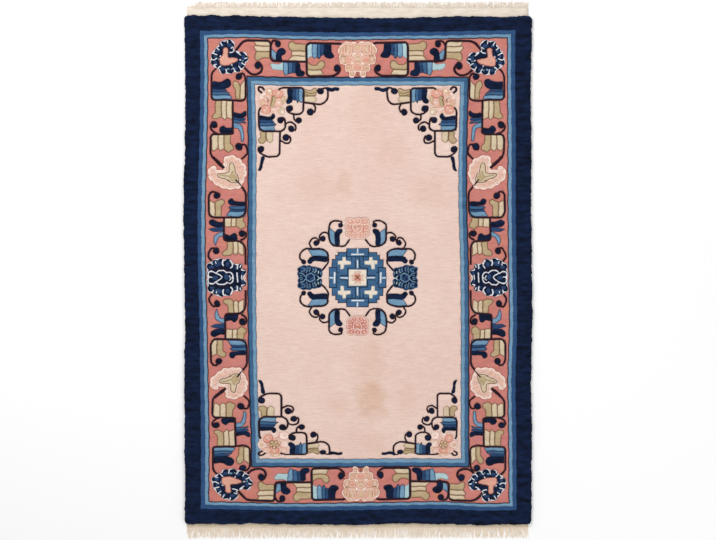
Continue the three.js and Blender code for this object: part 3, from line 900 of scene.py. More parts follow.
def medallion_side_flower(q_up, q_down):
    """The indigo flower at a side of the medallion."""
    up, down = middle_zone(q_up), middle_zone(q_down)

    def place(out, along):
        return up(out, along) if along >= 0 else down(out, -along)

    half = xy(36.8, 0, 36.2, 6, 38.4, 9.2, 43, 9.6, 46, 10.8, 50, 11.6, 55, 11, 58.8, 9, 59, 4.6, 58.4, 0)
    outline = bend(list(half) + [(a, -b) for a, b in reversed(half[1:-1])], True)
    frills(place, outline, (("mid", 0.3, 14, 0.9), ("slate", -0.2, 14, 0.8), ("navy", -0.7, 14, 0.9)))
    for s in (1, -1):
        dots(place, "deep", ((54.4, 7, 3, 2.4), (48.4, 8.4, 1.7, 2), (43.6, 6.6, 1.8, 1.9),
            (40.2, 2.6, 1, 1.4), (55.6, 1.6, 1.6, 1.1)), sy=s)
        dots(place, "mid", ((54.8, 9.2, 1.6, 0.8), (42.6, 8.4, 1.1, 0.7), (49.6, 10.4, 1.1, 0.7)), sy=s)
    for yarn, rx, ry in (("light", 4.6, 4.4), ("deep", 3.5, 3.3)):
        patch(place, yarn, scalloped(ellipse((47.2, 0), rx, ry, 24), 6, 0.5))
    dots(place, "navy", ((46.2, 1.4, 1.2, 1.3), (48.4, -1, 1.1, 1.1)))
    for s in (1, -1):
        strokes(place, (
            ("light", 1, 1, 1, 58, 4.6, 55, 4, 52.4, 1.8, 51, 0),
            ("ice", 1.1, 1, 1, 39.4, 4.2, 39.2, 6.8),
            ("light", 0.8, 1, 1, 36.8, 3, 37.2, 6),
            ("light", 0.8, 1, 1, 45.6, 5.2, 44.6, 7, 44.6, 9.4),
            ("light", 0.8, 1, 1, 51.4, 4.6, 50.6, 7, 50.8, 10.4),
            ("mid", 0.9, 1, 1, 58, 9.4, 53.6, 10),
            ("mid", 0.9, 1, 1, 41.6, 1.4, 41.8, 4.6),
            ("light", 0.7, 1, 1, 55.4, 2.2, 57.6, 2),
            ("light", 0.7, 1, 1, 56.6, 6, 53.2, 7.4, 52.8, 10),
            ("light", 0.7, 1, 1, 48.8, 6, 47.6, 8, 48, 10.4),
            ("ice", 0.7, 1, 1, 43.4, 4.6, 41.6, 6.6, 42, 8.6),
        ), sy=s)
    strokes(place, (
        ("ivory", 1, 1, 1, 35.8, -0.4, 38.6, -0.4),
        ("ice", 1, 1, 1, 40, -2.6, 38.4, -0.4, 40, 1.8),
        ("light", 0.8, 1, 1, 54.6, -0.2, 58, -0.2),
    ))


def bar(a0, b0, a1, b1):
    """A straight-sided bar between two corners, in squares."""
    return [(a0, b0), (a1, b0), (a1, b1), (a0, b1)]


def mitred(points, width):
    """A line of square-cornered bars."""
    half = width / 2
    out = []
    for (a0, b0), (a1, b1) in zip(points, points[1:]):
        out.append(bar(min(a0, a1) - half, min(b0, b1) - half, max(a0, a1) + half, max(b0, b1) + half))
    return out


def fret_roundel():
    """The stepped roundel with its fretwork: one quarter of it, four times."""
    stairs = ((28.6, 10.2), (25.8, 18.3), (22.2, 22.4), (19.6, 25.5), (11.2, 29.4))

    def stepped(edge):
        steps = [(0, 0), (stairs[0][0] - edge, 0)]
        for (wide, high), (next_wide, _) in zip(stairs, stairs[1:] + ((edge, 0),)):
            steps += [(wide - edge, high - edge), (next_wide - edge, high - edge)]
        return steps

    for q in QUARTERS:
        patch(middle_zone(q), "navy", stepped(0))
    for q in QUARTERS:
        place = middle_zone(q)
        patch(place, "mid", stepped(0.5))
        for points in (
            (0, 9.5, 2.2, 9.5, 2.2, 20.8), (2.2, 9.5, 9.8, 9.5, 9.8, 2.3, 18, 2.3),
            (5.8, 16.8, 5.8, 20.8, 10.8, 20.8, 10.8, 29), (11, 17.6, 11, 20.8),
            (18.6, 5.4, 20.8, 5.4, 20.8, 10.2, 28.4, 10.2), (20.8, 0, 20.8, 5), (0, 21, 5.8, 21),
        ):
            for piece in mitred(xy(*points), 0.5):
                patch(place, "navy", piece)
        # a hooked cross of the cream ground
        for yarn, grow in (("light", 0.6), ("bone", -0.05)):
            patch(place, yarn, offset(xy(
                11.8, 20.6, 14.9, 20.6, 15.4, 17.4, 19.9, 16.8, 19.9, 13.4, 17.2, 13, 17, 8.4, 13.8, 8.4,
                13.4, 12.8, 7, 13.2, 7, 16.4, 11.6, 17), grow))
    place = middle_zone(QUARTERS[0])
    for s in (1, -1):
        for yarn, grow in (("light", 0.5), ("ivory", -0.1)):
            for corners in (
                (-6.2, 22.2 * s, 6.2, 23.8 * s), (22.1 * s, -5.6, 23.8 * s, 5.6),
                (-0.7, 9.6 * s, 0.7, 17.6 * s), (9.6 * s, -0.9, 17.4 * s, 0.5),
                (-0.7, 24.4 * s, 0.7, 29.2 * s), (24.2 * s, -0.9, 28.4 * s, 0.5),
            ):
                a0, a1 = sorted((corners[0], corners[2]))
                b0, b1 = sorted((corners[1], corners[3]))
                patch(place, yarn, bar(a0 - grow, b0 - grow, a1 + grow, b1 + grow))
    patch(place, "bone", bar(-8.7, -8.3, 8.7, 8.3))
    for k in range(8):
        turn = math.radians(22.5 + 45 * k)
        patch(place, "blush", ellipse((5.3 * math.cos(turn), 5.3 * math.sin(turn)), 1.3, 1.3, 8))
    patch(place, "coral", ellipse((0, 0), 3.9, 3.9, 16))
    for k in range(4):
        turn = math.radians(45 + 90 * k)
        tip = (4.2 * math.cos(turn), 4.2 * math.sin(turn))
        patch(place, "rosy", ribbon([(0, 0), tip], 1.9, (0.9, 0.5)))
    for s in (1, -1):
        patch(place, "brown", ribbon([(-2, -2 * s), (2, 2 * s)], 0.8))


def ruled_loop(half, step=4):
    """A ruled rectangle of the layout, with its small corner bevels, wandering as laid."""
    hx, hy = half
    r = LINE_CORNER_RADIUS
    corners = [(hx, r - hy), (hx, hy - r), (hx - r, hy), (r - hx, hy)]
    corners += [(-x, -y) for x, y in corners]
    out = []
    for p, n in sides(corners):
        count = max(1, round(math.dist(p, n) / step))
        for s in range(count):
            out.append(hand(*laid(*(a + (b - a) * s / count for a, b in zip(p, n)))))
    return out


def grown(half, by):
    """The half sizes of a ruled loop grown by so much."""
    return (half[0] + by, half[1] + by)


def ground():
    """The outer band, the guards and the grounds, each painted inside the one before."""
    for half, yarn in (
        (NAVY_LINE, "slate"),
        (OUTER_MID, "light"),
        (grown(OUTER_LINE, 3.2), "ink"),
        (grown(OUTER_LINE, 0.6), "rose"),
        (grown(INNER_LINE, 1.6), "ink"),
        (grown(INNER_LINE, -1.6), "mid"),
        (INNER_MID, "light"),
        (grown(FIELD_LINE, 0.7), "deep"),
        (grown(FIELD_LINE, -0.7), "field"),
    ):
        shapes.append((yarn, ruled_loop(half)))


def draw_all():
    """Every patch of the rug, in painting order."""
    ground()
    for q in QUARTERS:
        end_border(q)
        side_border(q)
        corner_flower(q)
        side_flower(q)
        field_corner(q)
        medallion_leaves(q)
    upper_left, upper_right, lower_left, lower_right = QUARTERS
    end_flower(upper_left, upper_right)
    end_flower(lower_left, lower_right)
    middle_side_flower(upper_left, lower_left)
    middle_side_flower(upper_right, lower_right)
    medallion_flower(upper_left, upper_right, "coral", "blush", 0.95, 0.96)
    medallion_flower(lower_left, lower_right, "rosy", "coral", 0.85, 0.86)
    medallion_side_flower(upper_left, lower_left)
    medallion_side_flower(upper_right, lower_right)
    fret_roundel()


draw_all()


# The pile, mm.
PILE_HEIGHT = 12
FLAT_INSET = 7
CORNER_RADIUS = 14
SHEAR_WAVE = 0.35
SHEAR_WAVELENGTH = 460
# Low tufts on its top: height, length across and up the rug, and seed.
TUFTS = ((0.22, 34, 21, 0), (0.16, 11, 7, 9))
# How the pile's edge rounds over, from its flat top down to the floor: inset, height.
RIM_PROFILE = (
    (4.6, 11.8), (2.6, 11.2), (1.1, 10.1), (0.3, 8.6), (0, 6.8), (0.5, 5.2), (1.7, 4), (2.5, 2.8), (2.5, 0),
)
RIM_STEP = 4.6
CORNER_STEPS = 6
CORE_INSET = 24
EDGE_FUZZ = 3.4
EDGE_PULL = 4
GROOVE_DEPTH = 1.5
SHADE_STEP_DEPTH = 0.8
BLUES = {"navy", "deep", "slate", "mid", "light", "ice"}
PALES = {"shell", "pink", "blush", "coral", "sand", "cream", "tan", "bone", "rosy"}
# The loose points of its top, mm: those beside a groove, and the open grid with its jitter.
GROOVE_SAMPLE = 1.5
SHORTEST_EDGE = 0.2
SHOULDER = 2.3
SHOULDER_STEP = 5
SHOULDER_CLEAR = 0.86 * SHOULDER
POINT_CELL = 2.2
OPEN_GRID = 8.5
OPEN_CLEAR = 4.6
OPEN_JITTER = 1.6
OPEN_MARGIN = (12, 16)
ROW_RATIO = 0.866
# How near two points of the cut may lie, and how far its count of an area may stray: mm2 and share.
CUT_REACH = 0.05
ASTRAY, ASTRAY_SHARE = 4, 0.05
ON_RIM = 0.1
# Waves of the rug's edge and its raggedness: length in mm and seed.
EDGE_WAVES = ((41, 2), (120, 6))
RAG, LONG_RAG = 7, (15, 4)


def noise_at(*place):
    return noise.noise(Vector(place))


def waver(x, y, fine, coarse):
    """The unevenness of a line: two noises, each with its length in mm and its seed."""
    first, second = (noise_at(x / length, y / length, seed) for length, seed in (fine, coarse))
    return first + 0.7 * second


def pile_top(x, y):
    turn = 2 * math.pi / SHEAR_WAVELENGTH
    shear = SHEAR_WAVE * math.sin(turn * x) * math.cos(0.8 * turn * y)
    tufts = sum(height * noise_at(x / across, y / up, seed) for height, across, up, seed in TUFTS)
    return PILE_HEIGHT + shear + tufts


def rounded_rectangle(half_x, half_y, radius):
    """A rounded rectangle, counter-clockwise, with the same count of points at any inset."""
    counts = [round(2 * half / RIM_STEP) for half in PILE_HALF]

    def on_corner(k, part):
        x, y = ((1, 1), (-1, 1), (-1, -1), (1, -1))[k % 4]
        x, y = x * (half_x - radius), y * (half_y - radius)
        turn = (k + part) * math.pi / 2
        return x + radius * math.cos(turn), y + radius * math.sin(turn)

    out = []
    for k in range(4):
        out += [on_corner(k, s / CORNER_STEPS) for s in range(CORNER_STEPS + 1)]
        start, goal = out[-1], on_corner(k + 1, 0)
        count = counts[k % 2]
        out += [tuple(a + (b - a) * s / count for a, b in zip(start, goal)) for s in range(1, count)]
    return out


def outward(x, y):
    """The way out of the rug at a point of its edge, and the point of its core that it stands off."""
    near = [max(CORE_INSET - half, min(half - CORE_INSET, at)) for half, at in zip(PILE_HALF, (x, y))]
    return Vector((x - near[0], y - near[1])).normalized(), near


def rim_loop(inset):
    """The pile's edge at an inset: no true line, but pulled in and out along its length."""
    out = []
    for x, y in rounded_rectangle(PILE_HALF[0] - inset, PILE_HALF[1] - inset, CORNER_RADIUS - inset):
        way, near = outward(x, y)
        pull = EDGE_PULL if abs(way.y) > 0.5 else 0.6 * EDGE_PULL
        pull *= waver(*near, *EDGE_WAVES)
        x, y = laid(x, y)
        out.append((x + way.x * pull, y + way.y * pull))
    return out


def holds(outline, x, y):
    """Whether a point lies inside an outline."""
    inside = False
    for p, q in sides(outline):
        if (p[1] > y) != (q[1] > y) and x < p[0] + (y - p[1]) * (q[0] - p[0]) / (q[1] - p[1]):
            inside = not inside
    return inside


def edges_of(face):
    return [frozenset(edge) for edge in sides(face)]


def cut(loops, loose):
    """The plan cut along every outline, and the yarn on top in each of its triangles."""
    points, faces = [], []
    for _, outline in loops:
        ordered = outline if area_of(outline) > 0 else outline[::-1]
        faces.append(list(range(len(points), len(points) + len(ordered))))
        points += [Vector(p) for p in ordered]
    points += [Vector(p) for p in loose]
    verts, _, tris, _, _, owners = delaunay_2d_cdt(points, [], faces, 1, CUT_REACH, True)
    covered = [0.0] * len(loops)
    centres = []
    for tri, over in zip(tris, owners):
        p, q, r = (verts[i] for i in tri)
        centres.append(((p.x + q.x + r.x) / 3, (p.y + q.y + r.y) / 3))
        for k in over:
            covered[k] += abs(0.5 * ((q.x - p.x) * (r.y - p.y) - (q.y - p.y) * (r.x - p.x)))
    # where the cut's own count of what lies inside an outline ran astray, it is counted again here
    areas = [abs(area_of(outline)) for _, outline in loops]
    astray = {k for k, area in enumerate(areas) if abs(covered[k] - area) > ASTRAY + ASTRAY_SHARE * area}
    owners = [[k for k in over if k not in astray] for over in owners]
    for k in astray:
        outline = loops[k][1]
        (low_x, low_y), (high_x, high_y) = (tuple(map(pick, zip(*outline))) for pick in (min, max))
        for t, (x, y) in enumerate(centres):
            if low_x < x < high_x and low_y < y < high_y and holds(outline, x, y):
                owners[t].append(k)
    # the cut also fills the hollows of the rug's wavy edge, which are left out
    rug = [bool(over) or holds(loops[0][1], *centre) for over, centre in zip(owners, centres)]
    tris = [tri for tri, kept in zip(tris, rug) if kept]
    owners = [over for over, kept in zip(owners, rug) if kept]
    yarns = [loops[max(over)][0] if over else None for over in owners]
    around = {}
    for t, tri in enumerate(tris):
        for edge in edges_of(tri):
            around.setdefault(edge, []).append(t)
    # a triangle that no outline claims takes the yarn beside it
    lost = [t for t, yarn in enumerate(yarns) if yarn is None]
    while lost:
        for t in lost:
            for edge in edges_of(tris[t]):
                for other in around[edge]:
                    yarns[t] = yarns[t] or yarns[other]
        still = [t for t in lost if yarns[t] is None]
        if len(still) == len(lost):
            break
        lost = still
    return verts, tris, yarns, around


def colour_edges(yarns, around):
    """The edges where two yarns meet, with how deep the shears went there."""
    out = {}
    for edge, owners in around.items():
        pair = {yarns[t] for t in owners}
        if len(pair) == 2:
            out[edge] = SHADE_STEP_DEPTH if pair <= BLUES or pair <= PALES else GROOVE_DEPTH
    return out


def tree_of(points):
    tree = KDTree(len(points))
    for k, (x, y) in enumerate(points):
        tree.insert((x, y, 0), k)
    tree.balance()
    return tree


def shoulders(verts, edges):
    """Loose points beside each groove, and an even scatter over the open pile."""
    samples = []
    for edge in edges:
        a, b = (verts[i] for i in edge)
        count = max(1, math.ceil((b - a).length / GROOVE_SAMPLE))
        samples += [a.lerp(b, s / count) for s in range(count + 1)]
    grooves = tree_of(samples)
    taken = set()
    out = []

    def keep(x, y, clear):
        key = (round(x / POINT_CELL), round(y / POINT_CELL))
        if key not in taken and grooves.find((x, y, 0))[2] >= clear:
            taken.add(key)
            out.append((x, y))

    for edge in edges:
        a, b = (verts[i] for i in edge)
        span = b - a
        if span.length < SHORTEST_EDGE:
            continue
        side = Vector((span.y, -span.x)).normalized() * SHOULDER
        count = max(1, round(span.length / SHOULDER_STEP))
        for s in range(count):
            middle = a.lerp(b, (s + 0.5) / count)
            for p in (middle + side, middle - side):
                keep(p.x, p.y, SHOULDER_CLEAR)
    limit_x, limit_y = (half - margin for half, margin in zip(PILE_HALF, OPEN_MARGIN))
    row = 0
    y = -limit_y
    while y < limit_y:
        x = -limit_x + (row % 2) * OPEN_GRID / 2
        while x < limit_x:
            jitter = noise.noise_vector(Vector((x / 5, y / 5, 3)))
            keep(x + OPEN_JITTER * jitter.x, y + OPEN_JITTER * jitter.y, OPEN_CLEAR)
            x += OPEN_GRID
        y += OPEN_GRID * ROW_RATIO
        row += 1
    return out


def linked(name, data):
    """A new object in the scene that shows this data."""
    made = bpy.data.objects.new(name, data)
    bpy.context.collection.objects.link(made)
    return made


def mesh_of(name, verts, faces, smooth):
    mesh = bpy.data.meshes.new(name)
    mesh.from_pydata([(x * MM, y * MM, z * MM) for x, y, z in verts], [], faces)
    mesh.polygons.foreach_set("use_smooth", smooth)
    mesh.update()
    return linked(name, mesh)


def knot_pile():
    """The pile, one closed piece for each yarn, all cut from the same plan."""
    rim = rim_loop(FLAT_INSET)
    loops = [("navy", rim)] + shapes
    verts, _, yarns, around = cut(loops, [])
    verts, tris, yarns, around = cut(loops, shoulders(verts, colour_edges(yarns, around)))
    depth = {}
    for edge, d in colour_edges(yarns, around).items():
        for i in edge:
            depth[i] = max(depth.get(i, 0), d)
    top = [(v.x, v.y, pile_top(v.x, v.y) - depth.get(i, 0)) for i, v in enumerate(verts)]
    rim_points = tree_of(rim)
    nearest = {i: rim_points.find((v.x, v.y, 0)) for i, v in enumerate(verts)}
    on_rim = {i: k for i, (_, k, gap) in nearest.items() if gap < ON_RIM}
    pieces = {}
    for yarn in dict.fromkeys(each for each, _ in loops):
        mine = [tri for tri, y in zip(tris, yarns) if y == yarn]
        if not mine:
            continue
        used = sorted({i for tri in mine for i in tri})
        index = {v: k for k, v in enumerate(used)}
        n = len(used)
        points = [top[v] for v in used] + [(top[v][0], top[v][1], 0) for v in used]
        faces = [tuple(index[i] for i in tri) for tri in mine]
        edges = {edge for tri in faces for edge in sides(tri)}
        faces += [(c + n, b + n, a + n) for a, b, c in faces]
        smooth = [True] * len(mine) + [False] * len(mine)
        # each point's groove depth, which the wool's material reads to paint shade into the grooves
        carve = [depth.get(v, 0) / GROOVE_DEPTH for v in used] * 2
        rim_edges = []
        for a, b in sorted((a, b) for a, b in edges if (b, a) not in edges):
            if yarn == "navy" and used[a] in on_rim and used[b] in on_rim:
                rim_edges.append([(v, v + n, on_rim[used[v]]) for v in (a, b)])
                continue
            faces.append((a + n, b + n, b, a))
            smooth.append(False)
        if rim_edges:
            add_rim(points, faces, smooth, carve, rim_edges, len(rim))
        pieces[yarn] = mesh_of("pile_" + yarn, points, faces, smooth)
        pieces[yarn].data.attributes.new("carve", "FLOAT", "POINT").data.foreach_set("value", carve)
    return pieces


def add_rim(points, faces, smooth, carve, rim_edges, count):
    """The rounded, slightly ragged edge of the pile, from its flat top to the floor."""
    start = len(points)
    for inset, height in RIM_PROFILE:
        for x, y in rim_loop(inset):
            way, _ = outward(x, y)
            ragged = EDGE_FUZZ * (height / PILE_HEIGHT) * max(0, 1 - inset / 5)
            ragged *= waver(x, y, (RAG, height / 5), LONG_RAG)
            z = height + (height / PILE_HEIGHT) ** 4 * (pile_top(x, y) - PILE_HEIGHT)
            points.append((x + way.x * ragged, y + way.y * ragged, z))
            carve.append(0)
    levels = len(RIM_PROFILE)
    for edge in rim_edges:
        column_a, column_b = (
            [high] + [start + r * count + k for r in range(levels)] + [low] for high, low, k in edge)
        for r in range(levels + 1):
            faces.append((column_a[r + 1], column_b[r + 1], column_b[r], column_a[r]))
            smooth.append(r < levels - 1)


# The cotton foundation and its webs, mm.
CLOTH_HALF = 600
CLOTH_COLUMNS = 120
WEB_TOP, WEB_BOTTOM = 30, 13.5
WEFT_PITCH = 3.4
POINTS_PER_WEFT = 6
ROWS_UNDER_PILE = 36
CLOTH_LOW, CLOTH_HIGH = 0.3, 2.4
RIB_HEIGHT = 0.55
UNDER_PILE = 6


def web_drift(x, out):
    """How far a web's end strays at a place across: up the rug, mm."""
    return 0.9 * noise_at(x / 60, 0, 6 if out > 0 else 7)


def weave_foundation():
    """One cloth from web end to web end. Its weft ribs show only in the two webs."""
    def ribbed(y, end):
        out = []
        while y < end:
            out.append(y)
            y += WEFT_PITCH / POINTS_PER_WEFT
        return out

    upper_edge = PILE_HALF[1] + WEB_TOP
    under = PILE_HALF[1] - UNDER_PILE
    rows = ribbed(-PILE_HALF[1] - WEB_BOTTOM, -under)
    rows += [-under + 2 * under * s / ROWS_UNDER_PILE for s in range(ROWS_UNDER_PILE)]
    rows += ribbed(under, upper_edge) + [upper_edge]
    columns = [-CLOTH_HALF + 2 * CLOTH_HALF * k / CLOTH_COLUMNS for k in range(CLOTH_COLUMNS + 1)]
    points, faces = [], []
    for high in (True, False):
        for y in rows:
            for x in columns:
                web = abs(y) > under
                wave = 0.5 * noise_at(x / 70, y / 12, 2)
                side = 1.2 * noise_at(y / 9, 5, 0 if x > 0 else 3) * (abs(x) / CLOTH_HALF) ** 40
                rib = RIB_HEIGHT * abs(math.sin(math.pi * (y + wave) / WEFT_PITCH)) if web and high else 0
                z = CLOTH_HIGH + rib if high else CLOTH_LOW
                points.append((x + side, y + (web_drift(x, y) if web else 0), z))
    width, n = len(columns), len(rows) * len(columns)
    last_r, last_c = len(rows) - 1, width - 1

    def at(r, c, low=0):
        return r * width + c + low * n

    for r in range(last_r):
        for c in range(last_c):
            faces.append((at(r, c), at(r, c + 1), at(r + 1, c + 1), at(r + 1, c)))
            faces.append((at(r, c, 1), at(r + 1, c, 1), at(r + 1, c + 1, 1), at(r, c + 1, 1)))
    smooth = [True] * len(faces)
    # its four sides
    for r in range(last_r):
        faces.append((at(r, 0), at(r + 1, 0), at(r + 1, 0, 1), at(r, 0, 1)))
        faces.append((at(r, last_c, 1), at(r + 1, last_c, 1), at(r + 1, last_c), at(r, last_c)))
    for c in range(last_c):
        faces.append((at(0, c, 1), at(0, c + 1, 1), at(0, c + 1), at(0, c)))
        faces.append((at(last_r, c), at(last_r, c + 1), at(last_r, c + 1, 1), at(last_r, c, 1)))
    smooth += [False] * (len(faces) - len(smooth))
    return mesh_of("foundation_cloth", points, faces, smooth)


# Finishes. Each colour is an sRGB hex value.
def linear(hex_colour):
    parts = [int(hex_colour[k:k + 2], 16) / 255 for k in (1, 3, 5)]
    return tuple(p / 12.92 if p <= 0.04045 else ((p + 0.055) / 1.055) ** 2.4 for p in parts) + (1,)


def feed(tree, made, inputs):
    """Each input, by name or number, takes a socket, a node's first output, a #hex colour or a value."""
    for key, value in inputs.items():
        if isinstance(value, bpy.types.Node):
            value = value.outputs[0]
        if isinstance(value, bpy.types.NodeSocket):
            tree.links.new(value, made.inputs[key])
        else:
            made.inputs[key].default_value = linear(value) if str(value).startswith("#") else value


def node(tree, kind, inputs=None, **settings):
    """Adds one node with its settings and what its inputs take."""
    made = tree.nodes.new(kind)
    for key, value in settings.items():
        setattr(made, key, value)
    feed(tree, made, inputs or {})
    return made


def maths(tree, kind, a, b=0):
    return node(tree, "ShaderNodeMath", {0: a, 1: b}, operation=kind)


def mixed(tree, factor, a, b):
    """Two colours mixed, each an sRGB hex value or a socket."""
    return node(tree, "ShaderNodeMix", {0: factor, 6: a, 7: b}, data_type="RGBA").outputs[2]


# The fringe: how its warps are made, in mm and degrees, and what sets the two ends apart.
WARPS = 430
WARP_POINTS = 7
WARP_SIDES = 5
WARP_HEIGHT = 1.45
ROOT_RADIUS, TIP_RADIUS = 1.3, 0.82
SWAY = 1.9
LEAN_SPREAD = 7
EDGE_STEPS = 60
EDGE_INSET = 1.5
ROOT_DEPTH = 0.8
FRINGES = (
    dict(name="fringe_top", edge=PILE_HALF[1] + WEB_TOP, out=1,
         length=26.4, lean=-5, spread=0.26, worn=34, seed=3),
    dict(name="fringe_bottom", edge=-PILE_HALF[1] - WEB_BOTTOM, out=-1,
         length=39.4, lean=5, spread=0.15, worn=4, seed=8),
)
FRINGE_INPUTS = {
    "Edge": "Geometry", "Warps": "Int", "Length": "Float", "Length Spread": "Float",
    "Lean": "Float", "Lean Spread": "Float", "Root Radius": "Float", "Tip Radius": "Float",
    "Sway": "Float", "Worn End": "Float", "Seed": "Int", "Cotton": "Material",
}
# The part of its length left to a warp at the worn end, the phase and turn of its waves in radians,
# and the rise of its tip, m: those above the level warp rise and the others sink.
WORN_SHORT = 0.35
WAVE_PHASES, WAVE_TURN = 40, 5.5
LEVEL_WARP, RISE = 0.62, 0.0014


def fringe_tree():
    """Warps that run out of a cloth's end: one tapering, slightly wavy cord at each station."""
    tree = bpy.data.node_groups.new("warp fringe", "GeometryNodeTree")
    for name, kind in FRINGE_INPUTS.items():
        tree.interface.new_socket(name, in_out="INPUT", socket_type="NodeSocket" + kind)
    tree.interface.new_socket("Fringe", in_out="OUTPUT", socket_type="NodeSocketGeometry")
    given = node(tree, "NodeGroupInput").outputs

    def random(low, high, offset):
        seed = maths(tree, "ADD", given["Seed"], offset)
        made = node(tree, "FunctionNodeRandomValue", {"Seed": seed, 2: low, 3: high}, data_type="FLOAT")
        return made.outputs[1]

    def product(a, b):
        return maths(tree, "MULTIPLY", a, b)

    edge = node(tree, "GeometryNodeMeshToCurve", {0: given["Edge"]})
    roots = node(tree, "GeometryNodeResampleCurve", {"Curve": edge, "Count": given["Warps"]})
    straight = node(tree, "GeometryNodeCurvePrimitiveLine", {"End": (0, 1, 0)})
    warp = node(tree, "GeometryNodeResampleCurve", {"Curve": straight, "Count": WARP_POINTS})
    shorter = maths(tree, "SUBTRACT", 1, product(given["Length Spread"], random(0, 1, 1)))
    # at its left end the fringe is worn short
    across = node(tree, "ShaderNodeSeparateXYZ", {0: node(tree, "GeometryNodeInputPosition")}).outputs["X"]
    worn = node(tree, "ShaderNodeMapRange", {
        "Value": maths(tree, "ADD", across, CLOTH_HALF * MM), "From Min": 0, "From Max": given["Worn End"],
        "To Min": WORN_SHORT, "To Max": 1}, interpolation_type="SMOOTHSTEP")
    length = product(given["Length"], product(shorter, worn))
    size = node(tree, "ShaderNodeCombineXYZ", {"X": 1, "Y": length, "Z": 1})
    lean = maths(tree, "ADD", given["Lean"], product(given["Lean Spread"], random(-1, 1, 2)))
    turn = node(tree, "ShaderNodeCombineXYZ", {"Z": lean})
    placed = node(tree, "GeometryNodeInstanceOnPoints", {
        "Points": roots, "Instance": warp, "Rotation": turn, "Scale": size})
    marked = node(tree, "GeometryNodeStoreNamedAttribute", {
        "Geometry": placed, "Value": random(0, 1, 3), "Name": "warp"}, data_type="FLOAT", domain="INSTANCE")
    loose = node(tree, "GeometryNodeRealizeInstances", {0: marked})
    own = node(tree, "GeometryNodeInputNamedAttribute", {"Name": "warp"}, data_type="FLOAT")
    along = node(tree, "GeometryNodeSplineParameter").outputs["Factor"]
    phase = maths(tree, "ADD", product(own, WAVE_PHASES), product(along, WAVE_TURN))
    sway = product(product(given["Sway"], along), maths(tree, "SINE", phase))
    rise = product(maths(tree, "SUBTRACT", own, LEVEL_WARP), product(along, RISE))
    shift = node(tree, "ShaderNodeCombineXYZ", {"X": sway, "Z": rise})
    swayed = node(tree, "GeometryNodeSetPosition", {"Geometry": loose, "Offset": shift})
    thin = node(tree, "ShaderNodeMapRange", {
        "Value": along, "To Min": given["Root Radius"], "To Max": given["Tip Radius"]})
    profile = node(tree, "GeometryNodeCurvePrimitiveCircle", {"Resolution": WARP_SIDES, "Radius": 1})
    sized = node(tree, "GeometryNodeSetCurveRadius", {"Curve": swayed, "Radius": thin})
    cord = node(tree, "GeometryNodeCurveToMesh", {
        "Curve": sized, "Profile Curve": profile, "Fill Caps": True})
    if "Scale" in cord.inputs:
        feed(tree, cord, {"Scale": node(tree, "GeometryNodeInputRadius")})
    soft = node(tree, "GeometryNodeSetShadeSmooth", {"Geometry": cord})
    real = node(tree, "GeometryNodeRealizeInstances", {0: soft})
    dyed = node(tree, "GeometryNodeSetMaterial", {"Geometry": real, "Material": given["Cotton"]})
    node(tree, "NodeGroupOutput", {0: dyed})
    return tree


def plain_mesh_of(carrier, name):
    """What a piece's Geometry Nodes make, as a plain mesh with no modifier left."""
    bpy.context.view_layer.update()
    evaluated = carrier.evaluated_get(bpy.context.evaluated_depsgraph_get())
    mesh = bpy.data.meshes.new_from_object(evaluated)
    bpy.data.objects.remove(carrier)
    return linked(name, mesh)


def fringe(tree, facts, cotton):
    """A comb of warps along one end of the cloth."""
    out = facts["out"]
    edge = []
    for k in range(EDGE_STEPS + 1):
        x = -CLOTH_HALF + EDGE_INSET + (2 * CLOTH_HALF - 2 * EDGE_INSET) * k / EDGE_STEPS
        edge.append((x, facts["edge"] + web_drift(x, out) - out * ROOT_DEPTH, WARP_HEIGHT))
    mesh = bpy.data.meshes.new(facts["name"])
    mesh.from_pydata([tuple(c * MM for c in p) for p in edge], [(k, k + 1) for k in range(EDGE_STEPS)], [])
    carrier = linked(facts["name"] + "_edge", mesh)
    made = carrier.modifiers.new("fringe", "NODES")
    made.node_group = tree
    sockets = {item.name: item.identifier for item in tree.interface.items_tree if item.in_out == "INPUT"}
    values = {
        "Warps": WARPS, "Length": out * facts["length"] * MM, "Length Spread": facts["spread"],
        "Lean": math.radians(facts["lean"]) * out, "Lean Spread": math.radians(LEAN_SPREAD),
        "Root Radius": ROOT_RADIUS * MM, "Tip Radius": TIP_RADIUS * MM, "Sway": SWAY * MM,
        "Worn End": facts["worn"] * MM, "Seed": facts["seed"], "Cotton": cotton,
    }
    for name, value in values.items():
        made[sockets[name]] = value
    return plain_mesh_of(carrier, facts["name"])
